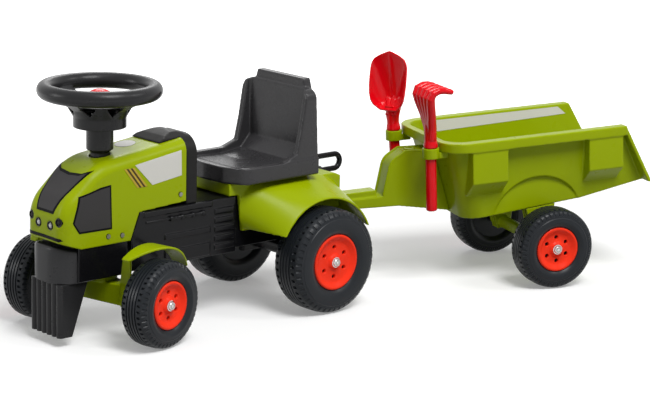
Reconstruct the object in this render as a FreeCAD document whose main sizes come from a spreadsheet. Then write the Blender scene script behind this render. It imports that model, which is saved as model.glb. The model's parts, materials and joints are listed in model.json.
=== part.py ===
import FreeCAD, Part
import math
import operator
import os
from types import SimpleNamespace

import Sketcher
from FreeCAD import Placement, Rotation, Vector

# A child's ride-on tractor with a hitched trailer, a shovel and a rake, in millimetres.
# The tractor is drawn about the point on the floor under the middle of its rear axle:
# X forward, Y to the driver's left, Z up.

os.makedirs("parts", exist_ok=True)
doc = FreeCAD.newDocument("ride_on_tractor")
sheet = doc.addObject("Spreadsheet::Sheet", "sizes")

SIZES = {
    # fits and walls
    "running_clearance": 0.05,
    "seat_gap": 0.2,
    "side_play": 0.5,
    "shell_wall": 3.0,
    # pose the toy stands in
    "steer_angle": 11.6,
    "trailer_swing": 20.3,
    # axles and wheels
    "wheelbase": 370.0,
    "axle_radius": 5.0,
    "hub_radius": 11.0,
    "tyre_wall": 3.0,
    "tyre_shoulder": 12.0,
    "tread_groove_depth": 2.0,
    "tread_groove_half": 1.2,
    "rim_recess": 7.0,
    "rim_wall": 3.0,
    "rim_lip": 3.0,
    "rim_hole_radius": 3.4,
    "cap_radius": 9.0,
    "cap_depth": 5.0,
    "rear_wheel_radius": 87.5,
    "rear_wheel_width": 68.0,
    "rear_half_track": 123.0,
    "rear_rim_radius": 47.0,
    "rear_hole_circle": 25.0,
    "small_wheel_radius": 70.0,
    "small_wheel_width": 54.0,
    "small_rim_radius": 39.0,
    "small_hole_circle": 21.0,
    "front_half_track": 126.0,
    "trailer_half_track": 128.0,
    "spacer_radius": 9.0,
    # chassis
    "chassis_bottom": 5.0,
    "chassis_deck": 199.7,
    "engine_half_width": 52.0,
    "engine_rear": 1.0,
    "spine_half_width": 50.0,
    "spine_rear": -85.0,
    "spine_top": 15.3,
    "axle_leg_half_width": 60.0,
    "axle_leg_length": 64.0,
    "axle_leg_bottom": 70.0,
    "bumper_half_width": 44.0,
    "bumper_front": 3.0,
    "bumper_bottom": 31.0,
    "bumper_top": 49.0,
    "bumper_round": 34.0,
    "bumper_brow": 16.0,
    "hood_mount_top": 22.0,
    "hood_mount_front": -31.0,
    "engine_rib": 2.5,
    "hitch_x": -116.0,
    "hitch_height": 148.0,
    "hitch_plate": 12.0,
    "hitch_play": 2.0,
    "hitch_half_width": 18.0,
    "hitch_pin_radius": 5.0,
    # front weight
    "weight_half_width": 40.0,
    "weight_bottom": 15.0,
    "weight_front": -8.0,
    "weight_rear_top": -50.0,
    "weight_rear_bottom": -20.0,
    "weight_rib_radius": 6.6,
    # hood
    "hood_half_width": 51.0,
    "hood_rear": -134.0,
    "hood_rear_top": 22.0,
    "hood_rear_low": 5.3,
    "hood_step_top_x": -17.0,
    "hood_step_low_x": -23.0,
    "hood_low": 6.0,
    "hood_chin_x": -35.0,
    "hood_chin_z": 12.0,
    "hood_nose": 107.0,
    "hood_nose_top": 223.0,
    "hood_brow_x": 38.0,
    "hood_brow_z": 285.0,
    "hood_nose_round": 60.0,
    "hood_brow_round": 90.0,
    "hood_edge_round": 19.0,
    "trim_thickness": 1.2,
    "lamp_radius": 6.5,
    "lamp_proud": 1.5,
    "lamp_inner_y": 15.5,
    "lamp_outer_y": 36.0,
    "lamp_rise": 25.0,
    "lamp_step": 8.0,
    "screw_radius": 3.5,
    # cowl behind the hood
    "cowl_rear": -22.0,
    "cowl_half_width": 52.0,
    "cowl_top": 4.0,
    "cowl_round": 32.0,
    "cap_front": 44.0,
    "cap_crown_x": 6.0,
    "cap_crown_z": 6.0,
    "cap_half_width": 36.0,
    # rear body and fenders
    "body_half_width": 58.0,
    "body_bottom": 140.0,
    "body_front": -21.0,
    "ledge_front": -9.0,
    "ledge_top": 22.3,
    "deck_z": -10.0,
    "body_rear": -92.0,
    "fender_radius": 13.5,
    "fender_lip": 4.0,
    "fender_half_width": 130.0,
    # seat and handle
    "seat_half_width": 85.0,
    "seat_back": -12.0,
    "seat_heel": 7.0,
    "seat_hump_back": 6.0,
    "seat_dish_half_width": 71.0,
    "seat_side_front": -23.0,
    "seat_nose": -53.0,
    "seat_rim": 28.0,
    "seat_pan": 19.0,
    "seat_corner_z": 116.0,
    "seat_hump_z": 15.0,
    "seat_hump_half_width": 59.0,
    "seat_wall": 8.0,
    "handle_end": -146.0,
    "handle_bar_radius": 4.8,
    "handle_top_z": 6.0,
    "handle_low_z": -9.0,
    # steering
    "shaft_radius": 8.0,
    "bush_radius": 12.0,
    "bush_flange_radius": 18.0,
    "bush_flange": 3.0,
    "bush_length": 20.0,
    "boss_radius": 20.0,
    "column_radius": 21.5,
    "column_low": 12.0,
    "neck_radius": 15.0,
    "neck_low": -9.0,
    "wheel_hub_low": 37.5,
    "wheel_hub_radius": 42.0,
    "wheel_hub_waist": 16.5,
    "wheel_bowl_radius": 55.0,
    "wheel_bowl_top": 22.5,
    "wheel_ring_z": 19.5,
    "wheel_ring_radius": 86.0,
    "wheel_tube_radius": 13.0,
    "spoke_width": 30.0,
    "button_radius": 19.5,
    "button_top": 21.0,
    "button_boss": 11.5,
    "button_boss_wall": 3.0,
    "button_gap": 0.5,
    "beam_half_depth": 16.0,
    "beam_half_height": 17.0,
    "turntable_radius": 28.0,
    "front_fender_gap": 16.0,
    "front_fender_wall": 4.0,
    "front_fender_inner": 90.0,
    "front_fender_outer": 131.0,
    "front_fender_round": 112.0,
    "front_fender_middle": -24.0,
    "front_fender_start": 56.0,
    "front_fender_sweep": 94.0,
    "strap_inner": 60.0,
    "strap_outer": 82.0,
    # trailer, about the middle of its own axle
    "eye_x": 186.4,
    "eye_z": 97.5,
    "eye_radius": 15.0,
    "eye_play": 1.0,
    "tub_top_z": 197.0,
    "tub_low_z": 40.0,
    "tub_top_half": 103.0,
    "tub_low_half": 85.0,
    "tub_front_top": 40.5,
    "tub_front_low": 139.5,
    "tub_front_round": 36.0,
    "floor_front_x": 5.5,
    "floor_front_z": 53.0,
    "floor_bend_x": -73.0,
    "floor_bend_z": 69.0,
    "tail_x": -203.0,
    "tail_z": 91.0,
    "tub_rear_top": 51.0,
    "rim_half": 17.0,
    "rim_front": 10.0,
    "rim_depth": 17.0,
    "rim_corner": 46.0,
    "gusset_low_z": -73.0,
    "gusset_foot_z": -26.0,
    "gusset_foot_half": 90.0,
    "front_gusset_x": -62.5,
    "rear_gusset_x": 6.0,
    "gusset_length": 67.0,
    "arch_x": 8.0,
    "arch_z": 30.0,
    "arch_radius": 89.0,
    "arch_inner_half": 87.0,
    "drawbar_half_width": 19.0,
    "drawbar_top": -28.0,
    "tongue_top": 10.5,
    "tongue_low": -15.5,
    "tongue_ledge": 15.0,
    "tongue_box_length": 86.0,
    "tongue_box_half_width": 14.0,
    "neck_foot_back": 97.0,
    "neck_brow_back": 15.0,
    "neck_top_back": 28.0,
    "neck_low_back": 29.0,
    "neck_brow_round": 26.0,
    "bracket_inner": 64.0,
    "bracket_outer": 86.0,
    "bracket_half_length": 28.0,
    "ring_x": 16.0,
    "ring_y": 80.0,
    "ring_z": -26.0,
    "ring_height": 18.0,
    "ring_wall": 4.0,
    # shovel and rake
    "grip_radius": 9.6,
    "grip_play": 1.0,
    "grip_low": -93.0,
    "tool_collar_radius": 12.6,
    "rake_neck_z": 109.0,
    "rake_head_z": 19.0,
    "rake_half_width": 33.0,
    "rake_reach": 32.0,
    "rake_bulge": 14.0,
    "shovel_blade_low": 55.0,
    "shovel_blade_high": 105.0,
    "shovel_half_width": 37.0,
    "shovel_thickness": 3.5,
    "shovel_depth": 33.0,
    "shovel_turn": -62.0,
    "shovel_lean": 2.5,
}

for row, (alias, number) in enumerate(SIZES.items(), start=1):
    sheet.set("A%d" % row, alias)
    sheet.set("B%d" % row, str(number))
    sheet.setAlias("B%d" % row, alias)
doc.recompute()


class Size:
    """A length of the sheet: its number today and the expression that keeps a feature bound to it."""

    def __init__(self, number, text):
        self.number = number
        self.text = text

    def __float__(self):
        return self.number

    def __neg__(self):
        return Size(-self.number, "-(%s)" % self.text)

    def __add__(self, other):
        return combine(operator.add, self, "+", other)

    def __radd__(self, other):
        return combine(operator.add, other, "+", self)

    def __sub__(self, other):
        return combine(operator.sub, self, "-", other)

    def __rsub__(self, other):
        return combine(operator.sub, other, "-", self)

    def __mul__(self, other):
        return combine(operator.mul, self, "*", other)

    def __rmul__(self, other):
        return combine(operator.mul, other, "*", self)

    def __truediv__(self, other):
        return combine(operator.truediv, self, "/", other)


def as_size(value):
    return value if isinstance(value, Size) else Size(float(value), "%.6f" % value)


def combine(action, first, sign, second):
    first, second = as_size(first), as_size(second)
    return Size(action(first.number, second.number), "(%s) %s (%s)" % (first.text, sign, second.text))


s = SimpleNamespace(**{alias: Size(float(sheet.get(alias)), "sizes." + alias) for alias in SIZES})

# Sizes that the sheet gives as a step from another size, which carries them along when it changes.

MEASURED_FROM = {
    "wheelbase": ("hood_rear", "hood_step_low_x", "hood_nose", "hood_brow_x"),
    "hood_step_low_x": ("hood_step_top_x",),
    "hood_nose": ("hood_chin_x", "hood_mount_front", "bumper_front"),
    "bumper_front": ("weight_front",),
    "weight_front": ("weight_rear_top", "weight_rear_bottom"),
    "hood_rear": ("cowl_rear", "cap_front", "cap_crown_x"),
    "cowl_rear": ("seat_nose",),
    "seat_nose": ("seat_side_front", "ledge_front"),
    "ledge_front": ("body_front",),
    "body_front": ("engine_rear",),
    "small_wheel_radius": ("bumper_bottom",),
    "bumper_bottom": ("chassis_bottom", "bumper_top"),
    "bumper_top": ("hood_low",),
    "hood_low": ("hood_mount_top", "hood_chin_z"),
    "chassis_deck": ("spine_top", "hood_rear_low", "ledge_top"),
    "ledge_top": ("deck_z", "seat_pan", "seat_rim", "handle_top_z"),
    "deck_z": ("handle_low_z",),
    "seat_rim": ("seat_corner_z",),
    "seat_corner_z": ("seat_hump_z",),
    "rear_wheel_radius": ("fender_radius",),
    "hood_brow_z": ("hood_rear_top", "column_low", "neck_low"),
    "hood_rear_top": ("cowl_top",),
    "cowl_top": ("cap_crown_z",),
    "column_low": ("wheel_hub_low",),
    "wheel_hub_low": ("wheel_hub_waist",),
    "wheel_hub_waist": ("wheel_bowl_top",),
    "wheel_bowl_top": ("wheel_ring_z", "button_top"),
    "tub_front_low": ("tub_front_top", "floor_front_x", "front_gusset_x"),
    "tub_front_top": ("rim_front", "eye_x"),
    "rim_front": ("ring_x",),
    "tail_x": ("tub_rear_top",),
    "tub_rear_top": ("rear_gusset_x",),
    "tub_top_half": ("rim_half",),
    "tub_top_z": ("drawbar_top", "ring_z", "gusset_low_z"),
    "gusset_low_z": ("gusset_foot_z",),
    "eye_z": ("tongue_top", "tongue_low"),
    "tongue_low": ("tongue_ledge",),
    "neck_foot_back": ("neck_brow_back", "neck_low_back"),
    "neck_brow_back": ("neck_top_back",),
    "ring_z": ("grip_low", "rake_neck_z", "shovel_blade_low"),
    "rake_neck_z": ("rake_head_z",),
    "shovel_blade_low": ("shovel_blade_high",),
}
for base, steps in MEASURED_FROM.items():
    for step in steps:
        setattr(s, step, getattr(s, base) + getattr(s, step))


def bind(thing, path, value):
    thing.setExpression(path, as_size(value).text)


def both(half):
    return (-as_size(half), as_size(half))


def sided(sign, inner, outer):
    """Span across the toy on its left (sign 1) or right (sign -1) side, lower end first."""
    return (inner, outer) if sign > 0 else (-as_size(outer), -as_size(inner))


# Primitives and booleans

TURNS = {"X": Rotation(Vector(0, 1, 0), 90), "Y": Rotation(Vector(1, 0, 0), -90), "Z": Rotation()}


def stand(solid, turn, base):
    solid.Placement = Placement(Vector(), turn)
    for letter, value in zip("xyz", base):
        bind(solid, "Placement.Base." + letter, value)


def box(name, x, y, z):
    solid = doc.addObject("Part::Box", name)
    for side, (low, high) in zip(("Length", "Width", "Height"), (x, y, z)):
        bind(solid, side, as_size(high) - low)
    stand(solid, Rotation(), (x[0], y[0], z[0]))
    return solid


def cylinder(name, radius, base, length, axis="Z"):
    solid = doc.addObject("Part::Cylinder", name)
    bind(solid, "Radius", radius)
    bind(solid, "Height", length)
    stand(solid, TURNS[axis], base)
    return solid


def wedge(name, low_x, low_y, high_x, high_y, z):
    """Straight block between a rectangle at the lower height and another at the upper height."""
    solid = doc.addObject("Part::Wedge", name)
    for path, value in (("Xmin", low_x[0]), ("Xmax", low_x[1]), ("X2min", high_x[0]), ("X2max", high_x[1]),
                        ("Zmin", -as_size(low_y[1])), ("Zmax", -as_size(low_y[0])),
                        ("Z2min", -as_size(high_y[1])), ("Z2max", -as_size(high_y[0])),
                        ("Ymin", z[0]), ("Ymax", z[1])):
        bind(solid, path, value)
    solid.Placement = Placement(Vector(), Rotation(Vector(1, 0, 0), 90))
    return solid


def join(name, solids):
    whole = doc.addObject("Part::MultiFuse", name)
    whole.Shapes = solids
    return whole


def cut(name, base, tool):
    rest = doc.addObject("Part::Cut", name)
    rest.Base = base
    rest.Tool = tool
    return rest


def overlap(name, solids):
    shared = doc.addObject("Part::MultiCommon", name)
    shared.Shapes = solids
    return shared


def group(name, solids):
    pack = doc.addObject("Part::Compound", name)
    pack.Links = solids
    return pack


# Bodies drawn from outlines

def outline(body, name, plane, corners):
    """Closed outline of straight lines; every corner is held by two dimensions bound to the sheet."""
    sketch = body.newObject("Sketcher::SketchObject", name)
    support = [feature for feature in body.Origin.OriginFeatures if feature.Role == plane][0]
    sketch.AttachmentSupport = [(support, "")]
    sketch.MapMode = "FlatFace"
    spots = [Vector(float(across), float(along), 0) for across, along in corners]
    count = len(spots)
    for index in range(count):
        sketch.addGeometry(Part.LineSegment(spots[index], spots[(index + 1) % count]), False)
    for index in range(count):
        sketch.addConstraint(Sketcher.Constraint("Coincident", index, 2, (index + 1) % count, 1))
    for index, corner in enumerate(corners):
        for kind, value in zip(("DistanceX", "DistanceY"), corner):
            held = sketch.addConstraint(Sketcher.Constraint(kind, -1, 1, index, 1, float(value)))
            bind(sketch, "Constraints[%d]" % held, value)
    return sketch


def padded(name, plane, corners, depth, low=None):
    """Body of an outline pulled out both ways by half its depth, or one way from a lower face."""
    body = doc.addObject("PartDesign::Body", name)
    sketch = outline(body, name + "_outline", plane, corners)
    pad = body.newObject("PartDesign::Pad", name + "_pad")
    pad.Profile = sketch
    bind(pad, "Length", depth)
    if low is None:
        pad.SideType = "Symmetric"
    else:
        bind(sketch, "AttachmentOffset.Base.z", low)
    sketch.Visibility = False
    return body


def turned(name, corners, plane="XY_Plane"):
    """Body of an outline turned about the upright axis of its sketch."""
    body = doc.addObject("PartDesign::Body", name)
    sketch = outline(body, name + "_outline", plane, corners)
    turn = body.newObject("PartDesign::Revolution", name + "_turn")
    turn.Profile = sketch
    turn.ReferenceAxis = (sketch, ["V_Axis"])
    turn.Angle = 360.0
    sketch.Visibility = False
    return body


def rounded(body, name, radius, chosen):
    """Fillet on the edges of the body's last feature whose middle passes the test."""
    doc.recompute()
    base = body.Tip
    names = []
    for number, edge in enumerate(base.Shape.Edges, start=1):
        if chosen(edge, edge.CenterOfMass):
            names.append("Edge%d" % number)
    fillet = body.newObject("PartDesign::Fillet", name)
    fillet.Base = (base, names)
    bind(fillet, "Radius", radius)
    return body


def near(value, target, reach=0.5):
    return abs(value - float(target)) < reach


pieces = []


def piece(label, thing, frame):
    thing.Label = label
    pieces.append((thing, frame))
    return thing


# Wheels: a hollow tyre body with its own hub tube, and a rim pressed into its outer side.
# Both are drawn about the wheel's middle with the outer side towards +Y.

bore = s.axle_radius + s.running_clearance


def wheel_forms(prefix, radius, width, rim, hole_circle):
    half = width / 2
    seat = half - s.rim_recess - s.rim_wall
    web = 8.0
    ledge = 3.0
    bead = 6.0
    tread = half - s.tyre_shoulder
    corners = [(bore, -half), (s.hub_radius, -half), (s.hub_radius, web - half), (rim, web - half),
               (rim + bead, -half), (radius - s.tyre_shoulder, -half), (radius, -tread)]
    for place in (-0.6, 0.0, 0.6):
        middle = tread * place
        corners += [(radius, middle - s.tread_groove_half),
                    (radius - s.tread_groove_depth, middle - s.tread_groove_half * 0.6),
                    (radius - s.tread_groove_depth, middle + s.tread_groove_half * 0.6),
                    (radius, middle + s.tread_groove_half)]
    inner_shoulder = s.tyre_shoulder + s.tyre_wall * 0.4
    corners += [(radius, tread), (radius - s.tyre_shoulder, half), (rim + bead, half), (rim, half - bead),
                (rim, seat), (rim - ledge, seat), (rim - ledge, seat - s.tyre_wall),
                (rim + s.tyre_wall, seat - s.tyre_wall), (rim + s.tyre_wall + ledge, half - s.tyre_wall),
                (radius - inner_shoulder, half - s.tyre_wall), (radius - s.tyre_wall, half - inner_shoulder),
                (radius - s.tyre_wall, inner_shoulder - half), (radius - inner_shoulder, s.tyre_wall - half),
                (rim + bead + 1, s.tyre_wall - half), (rim + 1, web + s.tyre_wall - half),
                (s.hub_radius, web + s.tyre_wall - half), (s.hub_radius, seat), (bore, seat)]
    tyre = turned(prefix + "_tyre_form", corners)
    face = seat + s.rim_wall
    edge = rim - s.seat_gap
    rim_body = turned(prefix + "_rim_form", [
        (bore, seat), (edge, seat), (edge, face + s.rim_lip), (edge - 5, face + s.rim_lip), (edge - 9, face),
        (s.hub_radius + 3, face), (s.hub_radius + 1, face + 2), (bore, face + 2)])
    holes = rim_body.newObject("Sketcher::SketchObject", prefix + "_rim_hole")
    support = [feature for feature in rim_body.Origin.OriginFeatures if feature.Role == "XZ_Plane"][0]
    holes.AttachmentSupport = [(support, "")]
    holes.MapMode = "FlatFace"
    circle = Part.Circle(Vector(0, float(hole_circle), 0), Vector(0, 0, 1), float(s.rim_hole_radius))
    holes.addGeometry(circle, False)
    holes.addConstraint(Sketcher.Constraint("PointOnObject", 0, 3, -2))
    for kind, value in (("DistanceY", hole_circle), ("Radius", s.rim_hole_radius)):
        if kind == "Radius":
            held = holes.addConstraint(Sketcher.Constraint(kind, 0, float(value)))
        else:
            held = holes.addConstraint(Sketcher.Constraint(kind, -1, 1, 0, 3, float(value)))
        bind(holes, "Constraints[%d]" % held, value)
    drill = rim_body.newObject("PartDesign::Pocket", prefix + "_rim_drill")
    drill.Profile = holes
    drill.Type = "ThroughAll"
    drill.SideType = "Symmetric"
    doc.recompute()
    pattern = rim_body.newObject("PartDesign::PolarPattern", prefix + "_rim_pattern")
    pattern.Originals = [drill]
    axis = [feature for feature in rim_body.Origin.OriginFeatures if feature.Role == "Y_Axis"][0]
    pattern.Axis = (axis, [""])
    pattern.Angle = 360.0
    pattern.Occurrences = 6
    rim_body.Tip = pattern
    return tyre, rim_body, face + 2


rear_tyre, rear_rim, rear_hub_face = wheel_forms(
    "rear", s.rear_wheel_radius, s.rear_wheel_width, s.rear_rim_radius, s.rear_hole_circle)
small_tyre, small_rim, small_hub_face = wheel_forms(
    "small", s.small_wheel_radius, s.small_wheel_width, s.small_rim_radius, s.small_hole_circle)

SIDES = {"left": 1, "right": -1}
OUTWARD = {"left": Rotation(), "right": Rotation(Vector(0, 0, 1), 180)}


def wheel_pair(prefix, tyre, rim, half_track, centre_x, centre_z, frame):
    for side, sign in SIDES.items():
        for kind, form in (("tyre", tyre), ("rim", rim)):
            copy = group("%s_%s_%s" % (prefix, kind, side), [form])
            middle = Vector(float(centre_x), sign * float(half_track), float(centre_z))
            copy.Placement = Placement(middle, OUTWARD[side])
            piece("%s_%s_%s" % (prefix, kind, side), copy, frame)


def axle_set(prefix, half_track, hub_face, centre_x, centre_z, frame):
    """Axle rod with a push-on cap at each end, just clear of the wheel hubs."""
    cap_base = half_track + hub_face + s.side_play
    socket = s.cap_depth - 1.5
    rod = cylinder(prefix + "_axle_rod", s.axle_radius, (centre_x, -(cap_base + socket - 0.2), centre_z),
                   2 * (cap_base + socket - 0.2), "Y")
    piece(prefix + "_axle", group(prefix + "_axle", [rod]), frame)
    caps = []
    for side, sign in SIDES.items():
        cap = turned("%s_cap_%s" % (prefix, side), [
            (s.axle_radius + s.running_clearance, 0), (s.cap_radius, 0), (s.cap_radius, 2),
            (s.cap_radius - 2.5, s.cap_depth), (0, s.cap_depth), (0, socket),
            (s.axle_radius + s.running_clearance, socket)])
        middle = Vector(float(centre_x), sign * float(cap_base), float(centre_z))
        cap.Placement = Placement(middle, OUTWARD[side])
        caps.append(cap)
    piece(prefix + "_axle_caps", group(prefix + "_axle_caps", caps), frame)


wheel_pair("rear", rear_tyre, rear_rim, s.rear_half_track, 0, s.rear_wheel_radius, "tractor")
axle_set("rear", s.rear_half_track, rear_hub_face, 0, s.rear_wheel_radius, "tractor")
spacer_low = s.axle_leg_half_width + s.seat_gap
spacer_high = s.rear_half_track - s.rear_wheel_width / 2 - s.side_play
spacers = []
for side, sign in SIDES.items():
    start = spacer_low if sign > 0 else -spacer_high
    tube = cylinder("spacer_tube_" + side, s.spacer_radius, (0, start, s.rear_wheel_radius),
                    spacer_high - spacer_low, "Y")
    core = cylinder("spacer_core_" + side, bore, (0, start - 1, s.rear_wheel_radius),
                    spacer_high - spacer_low + 2, "Y")
    spacers.append(cut("spacer_" + side, tube, core))
piece("rear_axle_spacers", group("rear_axle_spacers", spacers), "tractor")

# Chassis: a moulded trough, open underneath, from the bumper to the hitch plate.

wall = s.shell_wall
mount_half = s.hood_half_width - wall - s.seat_gap
bumper = padded("bumper_form", "XY_Plane", [
    (s.hood_step_low_x - 1, -s.bumper_half_width), (s.bumper_front, -s.bumper_half_width),
    (s.bumper_front, s.bumper_half_width), (s.hood_step_low_x - 1, s.bumper_half_width)],
    s.bumper_top - s.bumper_bottom, s.bumper_bottom)
rounded(bumper, "bumper_corners", s.bumper_round,
        lambda edge, middle: near(middle.x, s.bumper_front) and near(abs(middle.y), s.bumper_half_width))
rounded(bumper, "bumper_brow", s.bumper_brow,
        lambda edge, middle: near(middle.z, s.bumper_top) and middle.x > float(s.wheelbase))
engine = padded("engine_form", "XZ_Plane", [
    (s.engine_rear, s.chassis_bottom), (s.engine_rear, s.chassis_deck),
    (s.hood_step_top_x - 1, s.chassis_deck), (s.hood_step_low_x - 1, s.hood_low - s.seat_gap),
    (s.hood_step_low_x - 1, s.chassis_bottom)], 2 * s.engine_half_width)
hood_mount = box("hood_mount", (s.hood_step_low_x + 3, s.hood_mount_front), both(mount_half),
                 (s.bumper_bottom + 2, s.hood_mount_top))
spine = box("spine", (s.spine_rear, s.engine_rear + 1), both(s.spine_half_width),
            (s.chassis_bottom + 6, s.chassis_deck))
spine_head = box("spine_head", (s.seat_back + 10, s.body_front - 14), both(s.spine_half_width),
                 (s.chassis_bottom + 20, s.spine_top))
axle_leg = box("axle_leg", both(s.axle_leg_length / 2), both(s.axle_leg_half_width),
               (s.axle_leg_bottom, s.body_bottom - 2))
plate_z = s.hitch_height - (s.eye_z - s.tongue_low) - s.hitch_play - s.hitch_plate
hitch_plate = box("hitch_plate", (s.hitch_x - 16, s.spine_rear + 1), both(s.hitch_half_width),
                  (plate_z, plate_z + s.hitch_plate))
ribs = []
rib_count = 5
louvre_pitch = (s.chassis_deck - s.chassis_bottom - 18.7) / rib_count
for index in range(rib_count):
    rib_z = s.chassis_bottom + 10 + louvre_pitch * index
    ribs.append(box("louvre_%d" % index, (s.engine_rear + 6, s.engine_rear + 46),
                    both(s.engine_half_width + s.engine_rib), (rib_z, rib_z + 8)))
ribs.append(box("side_ledge", (s.engine_rear + 52, s.hood_step_top_x - 8),
                both(s.engine_half_width + s.engine_rib), (s.chassis_deck - 9, s.chassis_deck - 1)))
ribs.append(box("side_block", (s.engine_rear + 56, s.engine_rear + 148),
                both(s.engine_half_width + s.engine_rib), (s.chassis_bottom + 4, s.chassis_bottom + 24)))
ribs.append(box("side_bar", (s.engine_rear + 56, s.engine_rear + 148),
                both(s.engine_half_width + s.engine_rib), (s.chassis_bottom + 42, s.chassis_bottom + 50)))
outer_chassis = join("chassis_outer", [
    bumper, engine, hood_mount, spine, spine_head, axle_leg, hitch_plate] + ribs)
hollows = join("chassis_hollows", [
    box("engine_hollow", (s.spine_rear + wall, s.hood_step_low_x - 1 - wall),
        both(s.spine_half_width - wall), (s.axle_leg_bottom - 10, s.chassis_deck - wall - 2)),
    box("spine_hollow", (s.seat_back + 10 + wall, s.body_front - 14 - wall),
        both(s.spine_half_width - wall), (s.axle_leg_bottom - 10, s.spine_top - wall)),
    box("bumper_hollow", (s.hood_step_low_x + 3 + wall, s.hood_mount_front - wall),
        both(s.bumper_half_width - wall), (s.bumper_bottom - 10, s.hood_mount_top - wall)),
])
trough = cut("chassis_trough", outer_chassis, hollows)
post = cylinder("steering_post", s.boss_radius, (s.wheelbase, 0, s.bumper_bottom),
                s.hood_mount_top - s.bumper_bottom)
post_web = box("post_web", (s.hood_step_low_x, s.hood_mount_front - 1), both(wall / 2),
               (s.bumper_bottom, s.hood_mount_top - 1))
axle_boss = cylinder("axle_boss", s.hub_radius + 3, (0, -s.axle_leg_half_width, s.rear_wheel_radius),
                     2 * s.axle_leg_half_width, "Y")
filled = join("chassis_filled", [trough, post, post_web, axle_boss])
chassis_holes = [
    cylinder("post_bore", s.bush_radius + 0.02, (s.wheelbase, 0, s.bumper_bottom - 1),
             s.hood_mount_top - s.bumper_bottom + 2),
    cylinder("rear_axle_bore", bore, (0, -s.axle_leg_half_width - 1, s.rear_wheel_radius),
             2 * s.axle_leg_half_width + 2, "Y"),
    cylinder("hitch_bore", s.hitch_pin_radius + 0.02, (s.hitch_x, 0, plate_z - 1), s.hitch_plate + 2),
]
screw_holes = []
screws = []
SCREW_PLACES = ((s.hood_step_low_x + 44, s.hood_low + 14), (s.hood_step_low_x + 17, s.hood_low + 12),
                (s.hood_rear + 12, s.hood_rear_low + 13))
for index, (screw_x, screw_z) in enumerate(SCREW_PLACES):
    for side, sign in SIDES.items():
        name = "%d_%s" % (index, side)
        start = s.hood_half_width - 8 if sign > 0 else -s.hood_half_width - 1.5
        screws.append(cylinder("screw_" + name, s.screw_radius, (screw_x, start, screw_z), 9.5, "Y"))
        screw_holes.append(cylinder("screw_hole_" + name, s.screw_radius + 0.02,
                                    (screw_x, start - 0.1, screw_z), 9.7, "Y"))
screw_bores = join("screw_bores", screw_holes)
chassis_drilled = cut("chassis_drilled", filled, join("chassis_bores", chassis_holes))
piece("chassis", cut("chassis", chassis_drilled, screw_bores), "tractor")

pin_top = s.hitch_height + (s.tongue_top - s.eye_z) + s.hitch_play
pin_shank = cylinder("pin_shank", s.hitch_pin_radius, (s.hitch_x, 0, plate_z), pin_top - plate_z)
pin_head = cylinder("pin_head", s.hitch_pin_radius + 4, (s.hitch_x, 0, pin_top), 3)
piece("hitch_pin", join("hitch_pin", [pin_shank, pin_head]), "tractor")

# Front weight: a block of upright ribs under the bumper.

weight_top = s.bumper_bottom - s.seat_gap
weight_block = padded("weight_block", "XZ_Plane", [
    (s.weight_rear_bottom, s.weight_bottom), (s.weight_front, s.weight_bottom),
    (s.weight_front - 3, weight_top), (s.weight_rear_top, weight_top)], 2 * s.weight_half_width)
weight_rib_count = 6
rib_pitch = (2 * s.weight_half_width - 2 * s.weight_rib_radius) / (weight_rib_count - 1)
weight_ribs = [weight_block]
for index in range(weight_rib_count):
    rib_y = rib_pitch * index + s.weight_rib_radius - s.weight_half_width
    weight_ribs.append(cylinder("weight_rib_%d" % index, s.weight_rib_radius,
                                (s.weight_front - 2, rib_y, s.weight_bottom), weight_top - s.weight_bottom))
piece("front_weight", join("front_weight", weight_ribs), "tractor")

# Hood: a moulded shell with a sloping nose, open underneath and towards the cowl.


def hood_form(name, inset, shell_outside=False):
    """The hood's outer form, or the same form moved inwards and carried on through its open sides."""
    half = s.hood_half_width - inset
    slope = (s.hood_rear_top - s.hood_brow_z) / (s.hood_brow_x - s.hood_rear)
    upper = [(s.hood_nose - inset, s.hood_nose_top - inset * 0.45),
             (s.hood_brow_x - inset * 0.43, s.hood_brow_z - inset * 0.95)]
    if shell_outside:
        corners = [(s.hood_rear, s.hood_rear_low), (s.hood_step_top_x, s.chassis_deck + s.seat_gap),
                   (s.hood_step_low_x, s.hood_low), (s.hood_chin_x, s.hood_low), (s.hood_nose, s.hood_chin_z)]
        corners += upper + [(s.hood_rear, s.hood_rear_top)]
    else:
        back = s.hood_rear - 12
        corners = [(back, s.hood_low - 20), (s.hood_nose - inset, s.hood_low - 20)]
        corners += upper + [(back, s.hood_rear_top - inset + slope * 12)]
    body = padded(name, "XZ_Plane", corners, 2 * half)
    rounded(body, name + "_nose", s.hood_nose_round - inset, lambda edge, middle:
            near(middle.x, upper[0][0]) and near(middle.z, upper[0][1]) and near(middle.y, 0))
    rounded(body, name + "_brow", s.hood_brow_round - inset, lambda edge, middle:
            near(middle.x, upper[1][0]) and near(middle.z, upper[1][1]) and near(middle.y, 0))
    lowest = float(s.hood_chin_z) if shell_outside else float(s.hood_low) - 19
    rounded(body, name + "_edges", s.hood_edge_round - inset, lambda edge, middle:
            near(abs(middle.y), half) and middle.z > lowest
            and (middle.x > float(s.hood_brow_x) or middle.z > float(s.hood_nose_top))
            and middle.x > float(s.hood_rear) + 8)
    return body


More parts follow.
